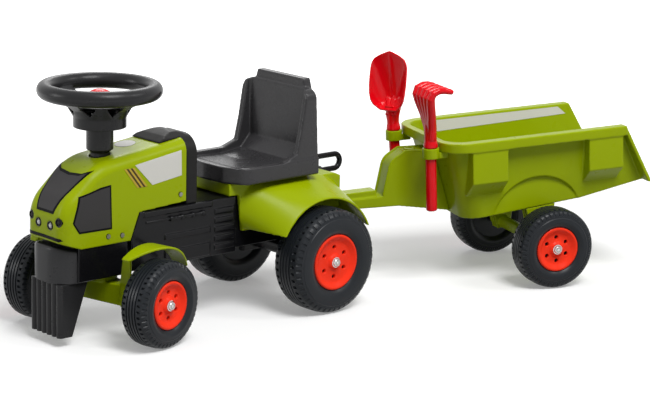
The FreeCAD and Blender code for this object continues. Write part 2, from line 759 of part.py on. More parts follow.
hood_skin = hood_form("hood_skin", as_size(0), True)
hood_core = hood_form("hood_core", wall)
lamps = []
lamp_bores = []
lamp_low = s.hood_chin_z + s.lamp_rise
LAMP_PLACES = ((-s.lamp_outer_y, lamp_low + s.lamp_step), (-s.lamp_inner_y, lamp_low),
               (s.lamp_inner_y, lamp_low), (s.lamp_outer_y, lamp_low + s.lamp_step))
for index, (lamp_y, lamp_z) in enumerate(LAMP_PLACES):
    lamps.append(cylinder("lamp_%d" % index, s.lamp_radius, (s.hood_nose - 12, lamp_y, lamp_z),
                          12 + s.lamp_proud, "X"))
    lamp_bores.append(cylinder("lamp_bore_%d" % index, s.lamp_radius + s.seat_gap,
                               (s.hood_nose - 30, lamp_y, lamp_z), 60, "X"))
column_bore = cylinder("column_bore", s.neck_radius + 2, (s.wheelbase, 0, s.hood_brow_z - 40), 80)
hood_shell = cut("hood_shell", hood_skin, hood_core)
hood_bored = cut("hood_bored", hood_shell, join("hood_bores", [column_bore] + lamp_bores))
piece("hood", cut("hood", hood_bored, screw_bores), "tractor")
piece("headlights", group("headlights", lamps), "tractor")
piece("hood_screws", group("hood_screws", screws), "tractor")

trim_outside = hood_form("trim_outside", -(s.seat_gap + s.trim_thickness))
trim_inside = hood_form("trim_inside", -s.seat_gap)
trim_skin = cut("trim_skin", trim_outside, trim_inside)
brow_half = s.hood_half_width - 10
notch_half = s.hood_half_width - 24
chin_half = s.hood_half_width - 29
grille_front = padded("grille_front", "YZ_Plane", [
    (-brow_half, s.hood_brow_z - 9), (-notch_half, s.hood_brow_z - 15), (0, s.hood_brow_z - 17),
    (notch_half, s.hood_brow_z - 15), (brow_half, s.hood_brow_z - 9), (chin_half, s.hood_nose_top - 11),
    (-chin_half, s.hood_nose_top - 11)], 130, s.hood_brow_x - 30)
piece("front_grille", overlap("front_grille", [trim_skin, grille_front]), "tractor")
for side, sign in SIDES.items():
    grille_side = padded("grille_side_" + side, "XZ_Plane", [
        (s.hood_brow_x - 22, s.hood_brow_z - 33), (s.hood_brow_x - 2, s.hood_brow_z - 35),
        (s.hood_nose - 31, s.hood_nose_top + 17), (s.hood_nose - 18, s.hood_nose_top - 23),
        (s.hood_nose - 30, s.hood_chin_z + 14), (s.hood_brow_x - 24, s.hood_chin_z + 13)],
        30, s.hood_half_width * -sign - 15)
    piece("side_grille_" + side, overlap("side_grille_" + side, [trim_skin, grille_side]), "tractor")

# Cowl: the dark frame behind the hood with a raised cap that lies on the hood's top.

cowl_frame = padded("cowl_frame", "YZ_Plane", [
    (-s.cowl_half_width, s.chassis_deck + s.seat_gap), (s.cowl_half_width, s.chassis_deck + s.seat_gap),
    (s.cowl_half_width, s.cowl_top), (-s.cowl_half_width, s.cowl_top)],
    s.hood_rear - s.seat_gap - s.cowl_rear, s.cowl_rear)
rounded(cowl_frame, "cowl_corners", s.cowl_round,
        lambda edge, middle: near(abs(middle.y), s.cowl_half_width) and near(middle.z, s.cowl_top))
top_slope = (s.hood_rear_top - s.hood_brow_z) / (s.hood_brow_x - s.hood_rear)
cap_side = padded("cap_side", "XZ_Plane", [
    (s.cowl_rear + 4, s.cowl_top - 8), (s.hood_rear, s.hood_rear_top + s.seat_gap),
    (s.cap_front, s.hood_rear_top + s.seat_gap - (s.cap_front - s.hood_rear) * top_slope),
    (s.cap_front, s.hood_rear_top + 2 - (s.cap_front - s.hood_rear) * top_slope),
    (s.cap_front - 16, s.hood_rear_top + 4), (s.cap_crown_x, s.cap_crown_z),
    (s.cowl_rear + 12, s.cowl_top + 2), (s.cowl_rear + 4, s.cowl_top - 4)], 2 * s.cap_half_width)
cap_arch = padded("cap_arch", "YZ_Plane", [
    (-s.cap_half_width, s.hood_low), (s.cap_half_width, s.hood_low), (s.cap_half_width, s.cap_crown_z - 10),
    (s.cap_half_width * 0.6, s.cap_crown_z - 2), (0, s.cap_crown_z),
    (s.cap_half_width * -0.6, s.cap_crown_z - 2), (-s.cap_half_width, s.cap_crown_z - 10)],
    s.cap_front - s.cowl_rear + 10, s.cowl_rear)
cowl_cap = overlap("cowl_cap", [cap_side, cap_arch])
lip_half = s.hood_half_width - wall - s.seat_gap
cowl_lip = box("cowl_lip", (s.hood_rear - 6, s.hood_rear + 22), both(lip_half),
               (s.hood_rear_low + 4, s.hood_rear_top - 18))
cowl_whole = join("cowl_whole", [cowl_frame, cowl_cap, cowl_lip])
cowl_hollow = join("cowl_hollow", [
    box("cowl_hollow_frame", (s.cowl_rear + wall, s.hood_rear - s.seat_gap - 1), both(lip_half - 3),
        (s.chassis_deck + wall, s.cowl_top - 12)),
    box("cowl_hollow_lip", (s.cowl_rear + wall + 10, s.hood_rear + 40), both(lip_half - 3),
        (s.hood_rear_low + 8, s.hood_rear_top - 22))])
piece("cowl", cut("cowl", cut("cowl_cup", cowl_whole, cowl_hollow), screw_bores), "tractor")

# Rear body: the green saddle over the chassis with its two fenders.

heel_x = s.seat_back - s.seat_heel
saddle = padded("saddle", "XZ_Plane", [
    (s.body_front - 8, s.body_bottom), (s.body_front, s.chassis_deck + 2),
    (s.ledge_front, s.chassis_deck + 2), (s.ledge_front, s.ledge_top),
    (heel_x, s.ledge_top), (heel_x - 4, s.deck_z),
    (s.body_rear + 14, s.deck_z), (s.body_rear, s.deck_z - 6), (s.body_rear, s.body_bottom)],
    2 * s.body_half_width)
plinth_top = s.seat_pan - s.seat_wall - s.seat_gap
plinth = box("plinth", (s.seat_back + 22, s.seat_side_front - 10), both(s.body_half_width - 4),
             (s.ledge_top - 2, plinth_top))


def fender_form(name, sign, inset, spread, reach):
    """Smooth form from the saddle's side to the round lip over the rear wheel, or the hollow under it.

    The inset moves the form inwards, twice as far at the saddle as at the lip, and the spread carries
    its lower ends on, in millimetres at the saddle and in degrees at the lip."""
    hub_z = float(s.rear_wheel_radius)
    lip_radius = float(s.fender_radius + s.fender_lip) - inset
    front = float(s.body_front)
    rear = float(s.body_rear)
    low = float(s.body_bottom) + 5
    top = max(float(s.ledge_top) - 2, hub_z + lip_radius + float(s.shell_wall))
    depth = 2 * inset
    inner = [(front - 8 - depth, low), (front - 3 - depth, top - 26 - depth),
             (front - 20 - depth, top - 6 - depth), (front * 0.466, top - depth), (0.0, top - depth),
             (rear + 40 + depth, top - 9 - depth), (rear + 10 + depth, top - 30 - depth),
             (rear - 2 + depth, low)]
    first, last = 29.0, 155.0
    turns = [first + (last - first) * index / (len(inner) - 1) for index in range(len(inner))]
    if spread:
        inner = [(inner[0][0], low - spread)] + inner + [(inner[-1][0], low - spread)]
        turns = [first - spread] + turns + [last + spread]
    outer = []
    for turn in turns:
        angle = math.radians(turn)
        outer.append((lip_radius * math.cos(angle), hub_z + lip_radius * math.sin(angle)))
    wires = []
    for points, across in zip((inner, outer), reach):
        spots = [Vector(x, sign * across, z) for x, z in points]
        curve = Part.BSplineCurve()
        curve.interpolate(spots)
        wires.append(Part.Wire([curve.toShape(), Part.LineSegment(spots[-1], spots[0]).toShape()]))
    fender = doc.addObject("Part::Feature", name)
    fender.Shape = Part.makeLoft(wires, True, True)
    return fender


fender_inner = float(s.body_half_width)
fender_outer = float(s.fender_half_width)
fenders = []
fender_hollows = []
for side, sign in SIDES.items():
    fenders.append(fender_form("fender_" + side, sign, 0.0, 0.0, (fender_inner - 0.5, fender_outer)))
    fender_hollows.append(fender_form("fender_hollow_" + side, sign, float(s.fender_lip), 12.0,
                                      (fender_inner + 4, fender_outer + 1)))
well_depth = s.fender_half_width - s.body_half_width
wells = fender_hollows + [
    cylinder("wheel_well_left", s.fender_radius,
             (0, s.body_half_width + 4, s.rear_wheel_radius), well_depth + 20, "Y"),
    cylinder("wheel_well_right", s.fender_radius,
             (0, -s.body_half_width - 24 - well_depth, s.rear_wheel_radius), well_depth + 20, "Y"),
    box("spine_slot", (s.body_rear - 1, s.ledge_front + 1), both(s.spine_half_width + s.seat_gap),
        (s.body_bottom - 20, s.chassis_deck + s.seat_gap)),
    box("engine_slot", (s.engine_rear - 0.5, s.ledge_front + 20), both(s.body_half_width + 4),
        (s.body_bottom - 20, s.chassis_deck + s.seat_gap)),
    box("spine_head_slot", (s.seat_back + 10 - s.seat_gap, s.body_front - 14 + s.seat_gap),
        both(s.spine_half_width + s.seat_gap), (s.body_bottom, s.spine_top + s.seat_gap)),
]
rear_whole = join("rear_whole", [saddle, plinth] + fenders)
piece("rear_body", cut("rear_body", rear_whole, join("rear_wells", wells)), "tractor")

# Seat: one moulded bucket that drops over the plinth.

seat_base = padded("seat_base", "XY_Plane", [
    (heel_x, -s.seat_half_width), (s.seat_side_front, -s.seat_half_width), (s.seat_nose - 3, -45),
    (s.seat_nose, 0), (s.seat_nose - 3, 45), (s.seat_side_front, s.seat_half_width),
    (heel_x, s.seat_half_width)], s.seat_rim - s.ledge_top - s.seat_gap, s.ledge_top + s.seat_gap)
rounded(seat_base, "seat_front_corners", 24.0, lambda edge, middle:
        near(middle.x, s.seat_side_front) and near(abs(middle.y), s.seat_half_width))
seat_wings = padded("seat_wings", "XZ_Plane", [
    (heel_x, s.seat_rim - 20), (s.seat_back + 72, s.seat_rim - 20), (s.seat_back + 70, s.seat_rim),
    (s.seat_back + 40, s.seat_rim + 11), (s.seat_back + 31, s.seat_rim + 50),
    (s.seat_back + 20, s.seat_corner_z), (s.seat_back, s.seat_corner_z)], 2 * s.seat_half_width - 4)
rounded(seat_wings, "seat_top_corners", 18.0, lambda edge, middle:
        near(abs(middle.y), s.seat_half_width - 2) and near(middle.z, s.seat_corner_z))
seat_hump = padded("seat_hump", "YZ_Plane", [
    (-s.seat_hump_half_width - 11, s.seat_corner_z - 20), (s.seat_hump_half_width + 11, s.seat_corner_z - 20),
    (s.seat_hump_half_width, s.seat_hump_z), (-s.seat_hump_half_width, s.seat_hump_z)],
    16, s.seat_back - s.seat_hump_back)
seat_length = s.seat_side_front - s.seat_back
seat_dish = padded("seat_dish", "XZ_Plane", [
    (s.seat_back + 14, s.seat_hump_z + 20), (s.seat_back + 14, s.seat_rim + 18),
    (s.seat_back + 34, s.seat_pan + 5), (s.seat_back + seat_length * 0.547, s.seat_pan),
    (s.seat_side_front - 13, s.seat_pan + 2), (s.seat_nose - 8, s.seat_rim + 1),
    (s.seat_nose - 8, s.seat_hump_z + 20)], 2 * s.seat_dish_half_width)
seat_hollow = box("seat_hollow", (s.seat_back + 14, s.seat_side_front - 2),
                  both(s.seat_half_width - s.seat_wall), (s.ledge_top - 2, s.seat_pan - s.seat_wall))
seat_whole = join("seat_whole", [seat_base, seat_wings, seat_hump])
piece("seat", cut("seat", seat_whole, join("seat_cuts", [seat_dish, seat_hollow])), "tractor")

# Rear handle: a round bar bent into a loop, its feet on the seat's back and the saddle's rear wall.

bend_radius = (s.handle_top_z - s.handle_low_z) / 2
bend_x = s.handle_end + bend_radius + s.handle_bar_radius
upper_foot = heel_x - s.seat_gap
lower_foot = s.body_rear - s.seat_gap
bend = doc.addObject("Part::Torus", "handle_bend")
bind(bend, "Radius1", bend_radius)
bind(bend, "Radius2", s.handle_bar_radius)
bend.Angle3 = 180.0
stand(bend, Rotation(Vector(0, 1, 0), -90) * Rotation(Vector(1, 0, 0), 90),
      (bend_x, 0, s.handle_low_z + bend_radius))
handle_parts = [bend]
for place, foot, height in (("upper", upper_foot, s.handle_top_z), ("lower", lower_foot, s.handle_low_z)):
    handle_parts.append(cylinder("handle_bar_" + place, s.handle_bar_radius,
                                 (bend_x, 0, height), foot - bend_x, "X"))
    handle_parts.append(cylinder("handle_foot_" + place, s.handle_bar_radius + 3.5,
                                 (foot - 4, 0, height), 4, "X"))
piece("rear_handle", join("rear_handle", handle_parts), "tractor")

# Steering: wheel, column, shaft and the front axle carrier turn together in two bushes of the chassis.
# Drawn about the point on the floor under the steering axis.

shaft_fit = s.shaft_radius + s.running_clearance
bush_parts = []
for place, low, flange_low in (
        ("lower", s.bumper_bottom + s.seat_gap, s.bumper_bottom - s.bush_flange),
        ("upper", s.hood_mount_top - s.bush_length, s.hood_mount_top + s.seat_gap / 2)):
    tube = cylinder("bush_tube_" + place, s.bush_radius,
                    (s.wheelbase, 0, low - s.bush_flange), s.bush_length + 2 * s.bush_flange - 1)
    flange = cylinder("bush_flange_" + place, s.bush_flange_radius,
                      (s.wheelbase, 0, flange_low), s.bush_flange - s.seat_gap)
    hole = cylinder("bush_hole_" + place, shaft_fit, (s.wheelbase, 0, low - 40), 120)
    bush_parts.append(cut("bush_" + place, join("bush_solid_" + place, [tube, flange]), hole))
piece("steering_bushes", group("steering_bushes", bush_parts), "tractor")

axle_z = s.small_wheel_radius
beam_low = axle_z - s.beam_half_height + 3
beam_high = axle_z + s.beam_half_height + 3
beam_end = s.front_half_track - s.small_wheel_width / 2 - s.side_play
turntable_top = s.bumper_bottom - s.bush_flange - s.side_play
beam = box("axle_beam", both(s.beam_half_depth), both(s.strap_outer), (beam_low, beam_high))
beam_tube = cylinder("beam_tube", s.hub_radius, (0, -beam_end, axle_z), 2 * beam_end, "Y")
turntable = cylinder("turntable", s.turntable_radius, (0, 0, beam_high - 1), turntable_top - beam_high + 1)
carrier_solid = join("carrier_solid", [beam, beam_tube, turntable])
carrier_bores = join("carrier_bores", [
    cylinder("front_axle_bore", bore, (0, -beam_end - 1, axle_z), 2 * beam_end + 2, "Y"),
    cylinder("shaft_socket", shaft_fit, (0, 0, axle_z + s.axle_radius + 4), 60)])
piece("front_axle_carrier", cut("front_axle_carrier", carrier_solid, carrier_bores), "steering")

shaft_low = axle_z + s.axle_radius + 4 + s.seat_gap
shaft_high = s.wheel_hub_low + 18
shaft_rod = cylinder("shaft_rod", s.shaft_radius, (0, 0, shaft_low), shaft_high - shaft_low)
piece("steering_shaft", group("steering_shaft", [shaft_rod]), "steering")
collar_low = s.hood_mount_top + s.bush_flange + s.side_play
collar = turned("shaft_collar", [
    (shaft_fit, collar_low), (s.bush_radius + 2, collar_low), (s.bush_radius + 2, collar_low + 6),
    (shaft_fit, collar_low + 6)], "XZ_Plane")
piece("shaft_collar", collar, "steering")
column_top = s.wheel_hub_low - s.seat_gap
column = turned("column_cover", [
    (shaft_fit, s.neck_low), (s.neck_radius, s.neck_low), (s.neck_radius, s.column_low - 2),
    (s.column_radius, s.column_low + 2), (s.column_radius, column_top), (shaft_fit, column_top)], "XZ_Plane")
piece("column_cover", column, "steering")

button_hole = s.button_radius + s.button_gap
wheel_hub = turned("wheel_hub", [
    (shaft_fit, s.wheel_hub_low), (s.wheel_hub_radius, s.wheel_hub_low),
    (s.wheel_hub_radius, s.wheel_hub_waist), (s.wheel_bowl_radius, s.wheel_bowl_top),
    (button_hole + s.button_boss_wall, s.wheel_bowl_top),
    (button_hole + s.button_boss_wall, s.wheel_bowl_top + s.button_boss),
    (button_hole, s.wheel_bowl_top + s.button_boss),
    (button_hole, s.wheel_bowl_top - wall), (s.wheel_bowl_radius - 8, s.wheel_bowl_top - wall),
    (s.wheel_hub_radius - wall, s.wheel_hub_waist - 1), (s.wheel_hub_radius - wall, s.wheel_hub_low + wall),
    (s.shaft_radius + 6, s.wheel_hub_low + wall), (s.shaft_radius + 6, s.wheel_hub_low + 20),
    (shaft_fit, s.wheel_hub_low + 20)], "XZ_Plane")
ring = doc.addObject("Part::Torus", "wheel_ring")
bind(ring, "Radius1", s.wheel_ring_radius)
bind(ring, "Radius2", s.wheel_tube_radius)
stand(ring, Rotation(), (0, 0, s.wheel_ring_z))
spokes = []
for index, heading in enumerate((0, 90, 270)):
    spoke = padded("spoke_%d" % index, "XZ_Plane", [
        (s.wheel_bowl_radius - 10, s.wheel_bowl_top - 8), (s.wheel_bowl_radius - 4, s.wheel_bowl_top - 8),
        (s.wheel_ring_radius, s.wheel_ring_z - 4), (s.wheel_ring_radius, s.wheel_ring_z + 4),
        (s.wheel_bowl_radius - 8, s.wheel_bowl_top - 1)], s.spoke_width)
    spoke.Placement = Placement(Vector(), Rotation(Vector(0, 0, 1), heading))
    spokes.append(spoke)
piece("steering_wheel", join("steering_wheel", [wheel_hub, ring] + spokes), "steering")

button_low = s.wheel_bowl_top - wall - s.button_gap
button = turned("horn_button", [
    (0, button_low - 3), (s.button_radius + 4, button_low - 3), (s.button_radius + 4, button_low),
    (s.button_radius, button_low), (s.button_radius, s.button_top - 9),
    (s.button_radius - 4, s.button_top - 4), (s.button_radius - 10, s.button_top - 1),
    (0, s.button_top)], "XZ_Plane")
piece("horn_button", button, "steering")

fender_in = s.small_wheel_radius + s.front_fender_gap
fender_out = fender_in + s.front_fender_wall
for side, sign in SIDES.items():
    edges_y = sided(sign, s.front_fender_inner, s.front_fender_outer)
    band = doc.addObject("PartDesign::Body", "fender_band_" + side)
    band_outline = outline(band, "fender_band_outline_" + side, "XY_Plane", [
        (fender_in, edges_y[0]), (fender_out, edges_y[0]), (fender_out, edges_y[1]), (fender_in, edges_y[1])])
    sweep = band.newObject("PartDesign::Revolution", "fender_band_sweep_" + side)
    sweep.Profile = band_outline
    sweep.ReferenceAxis = (band_outline, ["V_Axis"])
    bind(sweep, "Angle", s.front_fender_sweep)
    sweep.Reversed = True
    turn = Rotation(Vector(0, 1, 0), -float(s.front_fender_start))
    band.Placement = Placement(Vector(0, 0, float(axle_z)), turn)
    leaf = cylinder("fender_leaf_" + side, s.front_fender_round,
                    (s.front_fender_middle, (s.front_fender_outer - s.front_fender_round) * sign, axle_z),
                    fender_out + 10)
    leaf_band = overlap("fender_leaf_band_" + side, [band, leaf])
    strap_y = sided(sign, s.strap_inner, s.strap_outer)
    reach_y = sided(sign, s.strap_inner + 26, s.front_fender_inner + 12)
    strap_x = (s.beam_half_depth + s.seat_gap, s.beam_half_depth + s.seat_gap + s.front_fender_wall)
    start = math.radians(float(s.front_fender_start) + 4)
    tip_x = fender_in * math.cos(start)
    tip_z = axle_z + fender_in * math.sin(start) + 2
    strap_low = box("strap_low_" + side, strap_x, strap_y, (beam_low, beam_high + 6))
    strap_high = wedge("strap_high_" + side, strap_x, strap_y, (tip_x - 5, tip_x), reach_y,
                       (beam_high + 5, tip_z))
    fender = join("front_fender_" + side, [leaf_band, strap_low, strap_high])
    piece("front_fender_" + side, fender, "steering")

wheel_pair("front", small_tyre, small_rim, s.front_half_track, 0, axle_z, "steering")
axle_set("front", s.front_half_track, small_hub_face, 0, axle_z, "steering")

# Trailer: an open-ended tub on one axle with a gooseneck drawbar, drawn about the middle of its axle.


def tub_blank(name, inset):
    """Tapering tub with round front corners, cut along the floor and, outside, along the open rear end."""
    taper = wedge(name + "_taper", (s.tail_x - 40, s.tub_front_low - inset), both(s.tub_low_half - inset),
                  (s.tail_x - 40, s.tub_front_top - inset), both(s.tub_top_half - inset),
                  (s.tub_low_z, s.tub_top_z + 0.5 * inset))
    doc.recompute()
    corners = doc.addObject("Part::Fillet", name + "_corners")
    corners.Base = taper
    radius = float(s.tub_front_round - inset)
    corners.Edges = [(number, radius, radius) for number, edge in enumerate(taper.Shape.Edges, start=1)
                     if edge.CenterOfMass.x > 0.5 * float(s.tub_front_low) and abs(edge.CenterOfMass.y) > 40
                     and edge.BoundBox.ZLength > 20]
    if float(inset) > 0:
        tail_slope = (s.tail_z - s.floor_bend_z) / (s.floor_bend_x - s.tail_x)
        side = [(s.rim_front + 10, s.tub_top_z + 20), (s.rim_front + 10, s.floor_front_z + inset),
                (s.floor_front_x, s.floor_front_z + inset), (s.floor_bend_x, s.floor_bend_z + inset),
                (s.tail_x - 60, s.tail_z + inset + 60 * tail_slope), (s.tail_x - 60, s.tub_top_z + 20)]
    else:
        side = [(s.rim_front + 10, s.tub_top_z), (s.rim_front + 10, s.floor_front_z),
                (s.floor_front_x, s.floor_front_z), (s.floor_bend_x, s.floor_bend_z),
                (s.tail_x, s.tail_z), (s.tub_rear_top, s.tub_top_z)]
    profile = padded(name + "_profile", "XZ_Plane", side, 4 * s.tub_top_half)
    return overlap(name, [corners, profile])


tub_outside = tub_blank("tub_outside", as_size(0))
tub_space = tub_blank("tub_space", wall)
rim_band = padded("rim_band", "XY_Plane", [
    (s.tub_rear_top, -s.rim_half), (s.rim_front, -s.rim_half), (s.rim_front, s.rim_half),
    (s.tub_rear_top, s.rim_half)], s.rim_depth, s.tub_top_z - s.rim_depth)
rounded(rim_band, "rim_band_corners", s.rim_corner,
        lambda edge, middle: near(middle.x, s.rim_front) and near(abs(middle.y), s.rim_half))
rear_flange = padded("rear_flange", "XZ_Plane", [
    (s.tub_rear_top, s.tub_top_z), (s.tub_rear_top + 7, s.tub_top_z), (s.tail_x + 7, s.tail_z),
    (s.tail_x, s.tail_z)], 2 * s.rim_half - 4)
gussets = []
for place, low in (("front", s.front_gusset_x), ("rear", s.rear_gusset_x)):
    gussets.append(padded(place + "_gusset", "YZ_Plane", [
        (-s.rim_half + 2, s.tub_top_z - s.rim_depth + 1), (-s.rim_half + 2, s.gusset_low_z),
        (-s.gusset_foot_half, s.gusset_foot_z), (s.gusset_foot_half, s.gusset_foot_z),
        (s.rim_half - 2, s.gusset_low_z), (s.rim_half - 2, s.tub_top_z - s.rim_depth + 1)],
        s.gusset_length, low))


def arches(name, radius, inner_half):
    """Round niches over the trailer wheels, one on each side."""
    depth = 60
    return [cylinder(name + "_left", radius, (s.arch_x, inner_half, s.arch_z), depth, "Y"),
            cylinder(name + "_right", radius, (s.arch_x, -inner_half - depth, s.arch_z), depth, "Y")]


tub_filled = join("tub_filled", [tub_outside, rim_band, rear_flange] + gussets)
arch_niches = join("arch_niches", arches("arch_niche", s.arch_radius, s.arch_inner_half))
tub_arched = cut("tub_arched", tub_filled, arch_niches)
space_kept = cut("space_kept", tub_space, join(
    "arch_linings", arches("arch_lining", s.arch_radius + wall, s.arch_inner_half - wall)))
piece("trailer_tub", cut("trailer_tub", tub_arched, space_kept), "trailer")

front_lean = (s.tub_front_top - s.tub_front_low) / (s.tub_top_z - s.tub_low_z)


def tub_front(height):
    """X of the tub's front wall at a height, with the seating gap in front of it."""
    return s.tub_front_low + (height - s.tub_low_z) * front_lean + s.seat_gap


gooseneck = padded("gooseneck", "XZ_Plane", [
    (tub_front(s.drawbar_top), s.drawbar_top), (s.eye_x - s.neck_top_back, s.drawbar_top + 3),
    (s.eye_x - s.neck_brow_back, s.drawbar_top - 12), (s.eye_x - s.neck_foot_back, s.tongue_ledge),
    (s.eye_x, s.tongue_ledge), (s.eye_x, s.tongue_low), (s.eye_x - s.neck_low_back, s.tongue_low - 6),
    (tub_front(s.floor_front_z + 4), s.floor_front_z + 4)], 2 * s.drawbar_half_width)
rounded(gooseneck, "gooseneck_brow", s.neck_brow_round, lambda edge, middle:
        near(middle.x, s.eye_x - s.neck_brow_back) and near(middle.z, s.drawbar_top - 12))
neck_hollow = padded("neck_hollow", "XZ_Plane", [
    (tub_front(s.drawbar_top) + wall, s.drawbar_top - wall),
    (s.eye_x - s.neck_top_back, s.drawbar_top + 2 - wall),
    (s.eye_x - s.neck_brow_back - wall, s.drawbar_top - 14 - wall),
    (s.eye_x - s.neck_foot_back - wall, s.tongue_ledge - wall),
    (s.eye_x - s.neck_foot_back - wall, s.floor_front_z),
    (tub_front(s.floor_front_z) + wall, s.floor_front_z)], 2 * (s.drawbar_half_width - wall))
tongue_box = box("tongue_box", (s.eye_x - s.tongue_box_length, s.eye_x), both(s.tongue_box_half_width),
                 (s.tongue_low + 2, s.tongue_top))
eye = cylinder("eye", s.eye_radius + 4, (s.eye_x, 0, s.tongue_low), s.tongue_top - s.tongue_low)
eye_bore = cylinder("eye_bore", s.hitch_pin_radius + s.eye_play, (s.eye_x, 0, s.tongue_low - 10), 60)
drawbar_shell = cut("drawbar_shell", gooseneck, neck_hollow)
drawbar_solid = join("drawbar_solid", [drawbar_shell, tongue_box, eye])
piece("drawbar", cut("drawbar", drawbar_solid, eye_bore), "trailer")

floor_slope = (s.floor_bend_z - s.floor_front_z) / (s.floor_front_x - s.floor_bend_x)


def floor_under(x):
    """Z of the underside of the tub's floor, with the seating gap below it."""
    return s.floor_front_z + (s.floor_front_x - x) * floor_slope - s.seat_gap


bracket_parts = []
rib_width = 4.0
for index in range(3):
    for side, sign in SIDES.items():
        low = s.bracket_inner + (s.bracket_outer - s.bracket_inner - rib_width) / 2 * index
        offset = -low - rib_width if sign > 0 else low
        bracket_parts.append(padded("bracket_rib_%d_%s" % (index, side), "XZ_Plane", [
            (s.bracket_half_length, floor_under(s.bracket_half_length)),
            (-s.bracket_half_length, floor_under(-s.bracket_half_length)), (-12, -12), (12, -12)],
            rib_width, offset))
hub_end = s.trailer_half_track - s.small_wheel_width / 2 - s.side_play
bracket_parts.append(cylinder("bracket_tube", s.hub_radius, (0, -hub_end, 0), 2 * hub_end, "Y"))
bracket_solid = join("bracket_solid", bracket_parts)
bracket_bore = cylinder("bracket_bore", bore, (0, -hub_end - 1, 0), 2 * hub_end + 2, "Y")
piece("trailer_axle_bracket", cut("trailer_axle_bracket", bracket_solid, bracket_bore), "trailer")

wheel_pair("trailer", small_tyre, small_rim, s.trailer_half_track, 0, 0, "trailer")
axle_set("trailer", s.trailer_half_track, small_hub_face, 0, 0, "trailer")

grip_bore = s.grip_radius + s.grip_play
for side, sign in SIDES.items():
    centre_y = s.ring_y * sign
    tube = cylinder("tool_ring_tube_" + side, grip_bore + s.ring_wall,
                    (s.ring_x, centre_y, s.ring_z), s.ring_height)
    arm_top = s.tub_top_z - s.rim_depth - s.seat_gap
    arm = box("tool_ring_arm_" + side, (tub_front(arm_top), s.ring_x), (centre_y - 5, centre_y + 5),
              (s.ring_z - 2, arm_top))
    hole = cylinder("tool_ring_hole_" + side, grip_bore,
                    (s.ring_x, centre_y, s.ring_z - 5), s.ring_height + 40)
    ring_solid = join("tool_ring_solid_" + side, [tube, arm])
    piece("tool_ring_" + side, cut("tool_ring_" + side, ring_solid, hole), "trailer")

# Shovel and rake: each hangs in its ring by the collar above the grip.

ring_top = s.ring_z + s.ring_height + s.seat_gap + 0.6


def grip(name):
    return turned(name, [
        (0, s.grip_low), (s.grip_radius - 2, s.grip_low), (s.grip_radius, s.grip_low + 2),
        (s.grip_radius, ring_top), (s.tool_collar_radius, ring_top), (s.tool_collar_radius, ring_top + 4),
        (s.grip_radius, ring_top + 14), (s.grip_radius, ring_top + 40), (0, ring_top + 40)], "XZ_Plane")


rake_grip = grip("rake_grip")
rake_fan = wedge("rake_fan", both(s.grip_radius - 2), both(s.grip_radius - 1), (-8, s.rake_bulge),
                 both(s.rake_half_width - 8), (ring_top + 20, s.rake_neck_z))
rake_head = padded("rake_head", "XZ_Plane", [
    (s.rake_bulge, s.rake_neck_z - 1), (s.rake_bulge - 4, s.rake_head_z - 8),
    (s.rake_bulge - 16, s.rake_head_z), (-20, s.rake_head_z - 1), (-20, s.rake_head_z - 10),
    (-8, s.rake_head_z - 14), (-8, s.rake_neck_z - 1)], 2 * s.rake_half_width)
tines = []
tine_count = 5
tine_width = 7.0
for index in range(tine_count):
    tine_y = (2 * s.rake_half_width - tine_width) / (tine_count - 1) * index - s.rake_half_width
    tines.append(box("rake_tine_%d" % index, (-s.rake_reach, -19), (tine_y, tine_y + tine_width),
                     (s.rake_head_z - 9, s.rake_head_z - 2)))
rake = join("rake", [rake_grip, rake_fan, rake_head] + tines)
rake.Placement = Placement(Vector(float(s.ring_x), float(s.ring_y), 0), Rotation())
piece("rake", rake, "trailer")

shovel_grip = grip("shovel_grip")
blade_back = -11.0
shovel_neck = wedge("shovel_neck", both(s.grip_radius - 2), both(s.grip_radius - 2), both(14),
                    (blade_back, blade_back + 8),
                    (ring_top + 20, s.shovel_blade_low + 26))
blade_outline = padded("blade_outline", "XZ_Plane", [
    (-14, s.shovel_blade_low), (14, s.shovel_blade_low), (s.shovel_half_width, s.shovel_blade_low + 20),
    (s.shovel_half_width, s.shovel_blade_high - 22), (s.shovel_half_width * 0.6, s.shovel_blade_high - 8),
    (0, s.shovel_blade_high), (s.shovel_half_width * -0.6, s.shovel_blade_high - 8),
    (-s.shovel_half_width, s.shovel_blade_high - 22), (-s.shovel_half_width, s.shovel_blade_low + 20)], 80)
blade_front = blade_back + s.shovel_thickness
scoop_block = wedge("scoop_block", both(s.shovel_half_width), (blade_back, blade_back + s.shovel_depth),
                    both(s.shovel_half_width), (blade_back, blade_front),
                    (s.shovel_blade_low, s.shovel_blade_high))
scoop_half = s.shovel_half_width - s.shovel_thickness
scoop_space = padded("scoop_space", "XZ_Plane", [
    (-12, s.shovel_blade_low + s.shovel_thickness), (12, s.shovel_blade_low + s.shovel_thickness),
    (scoop_half, s.shovel_blade_low + 21), (scoop_half, s.shovel_blade_high + 10),
    (-scoop_half, s.shovel_blade_high + 10), (-scoop_half, s.shovel_blade_low + 21)],
    2 * s.shovel_depth, -blade_front - 2 * s.shovel_depth)
blade = cut("blade", overlap("scoop_outside", [scoop_block, blade_outline]), scoop_space)
shovel = join("shovel", [shovel_grip, shovel_neck, blade])
ring_middle = Vector(0, 0, float(s.ring_z + s.ring_height / 2))
lean_turn = Rotation(Vector(0, 1, 0), float(s.shovel_lean))
lean = Placement(ring_middle, lean_turn) * Placement(-ring_middle, Rotation())
open_side = Placement(Vector(), Rotation(Vector(0, 0, 1), float(s.shovel_turn)))
shovel.Placement = Placement(Vector(float(s.ring_x), -float(s.ring_y), 0), Rotation()) * lean * open_side
piece("shovel", shovel, "trailer")

# The pose of the three bodies, then the origin under the middle of the whole toy.

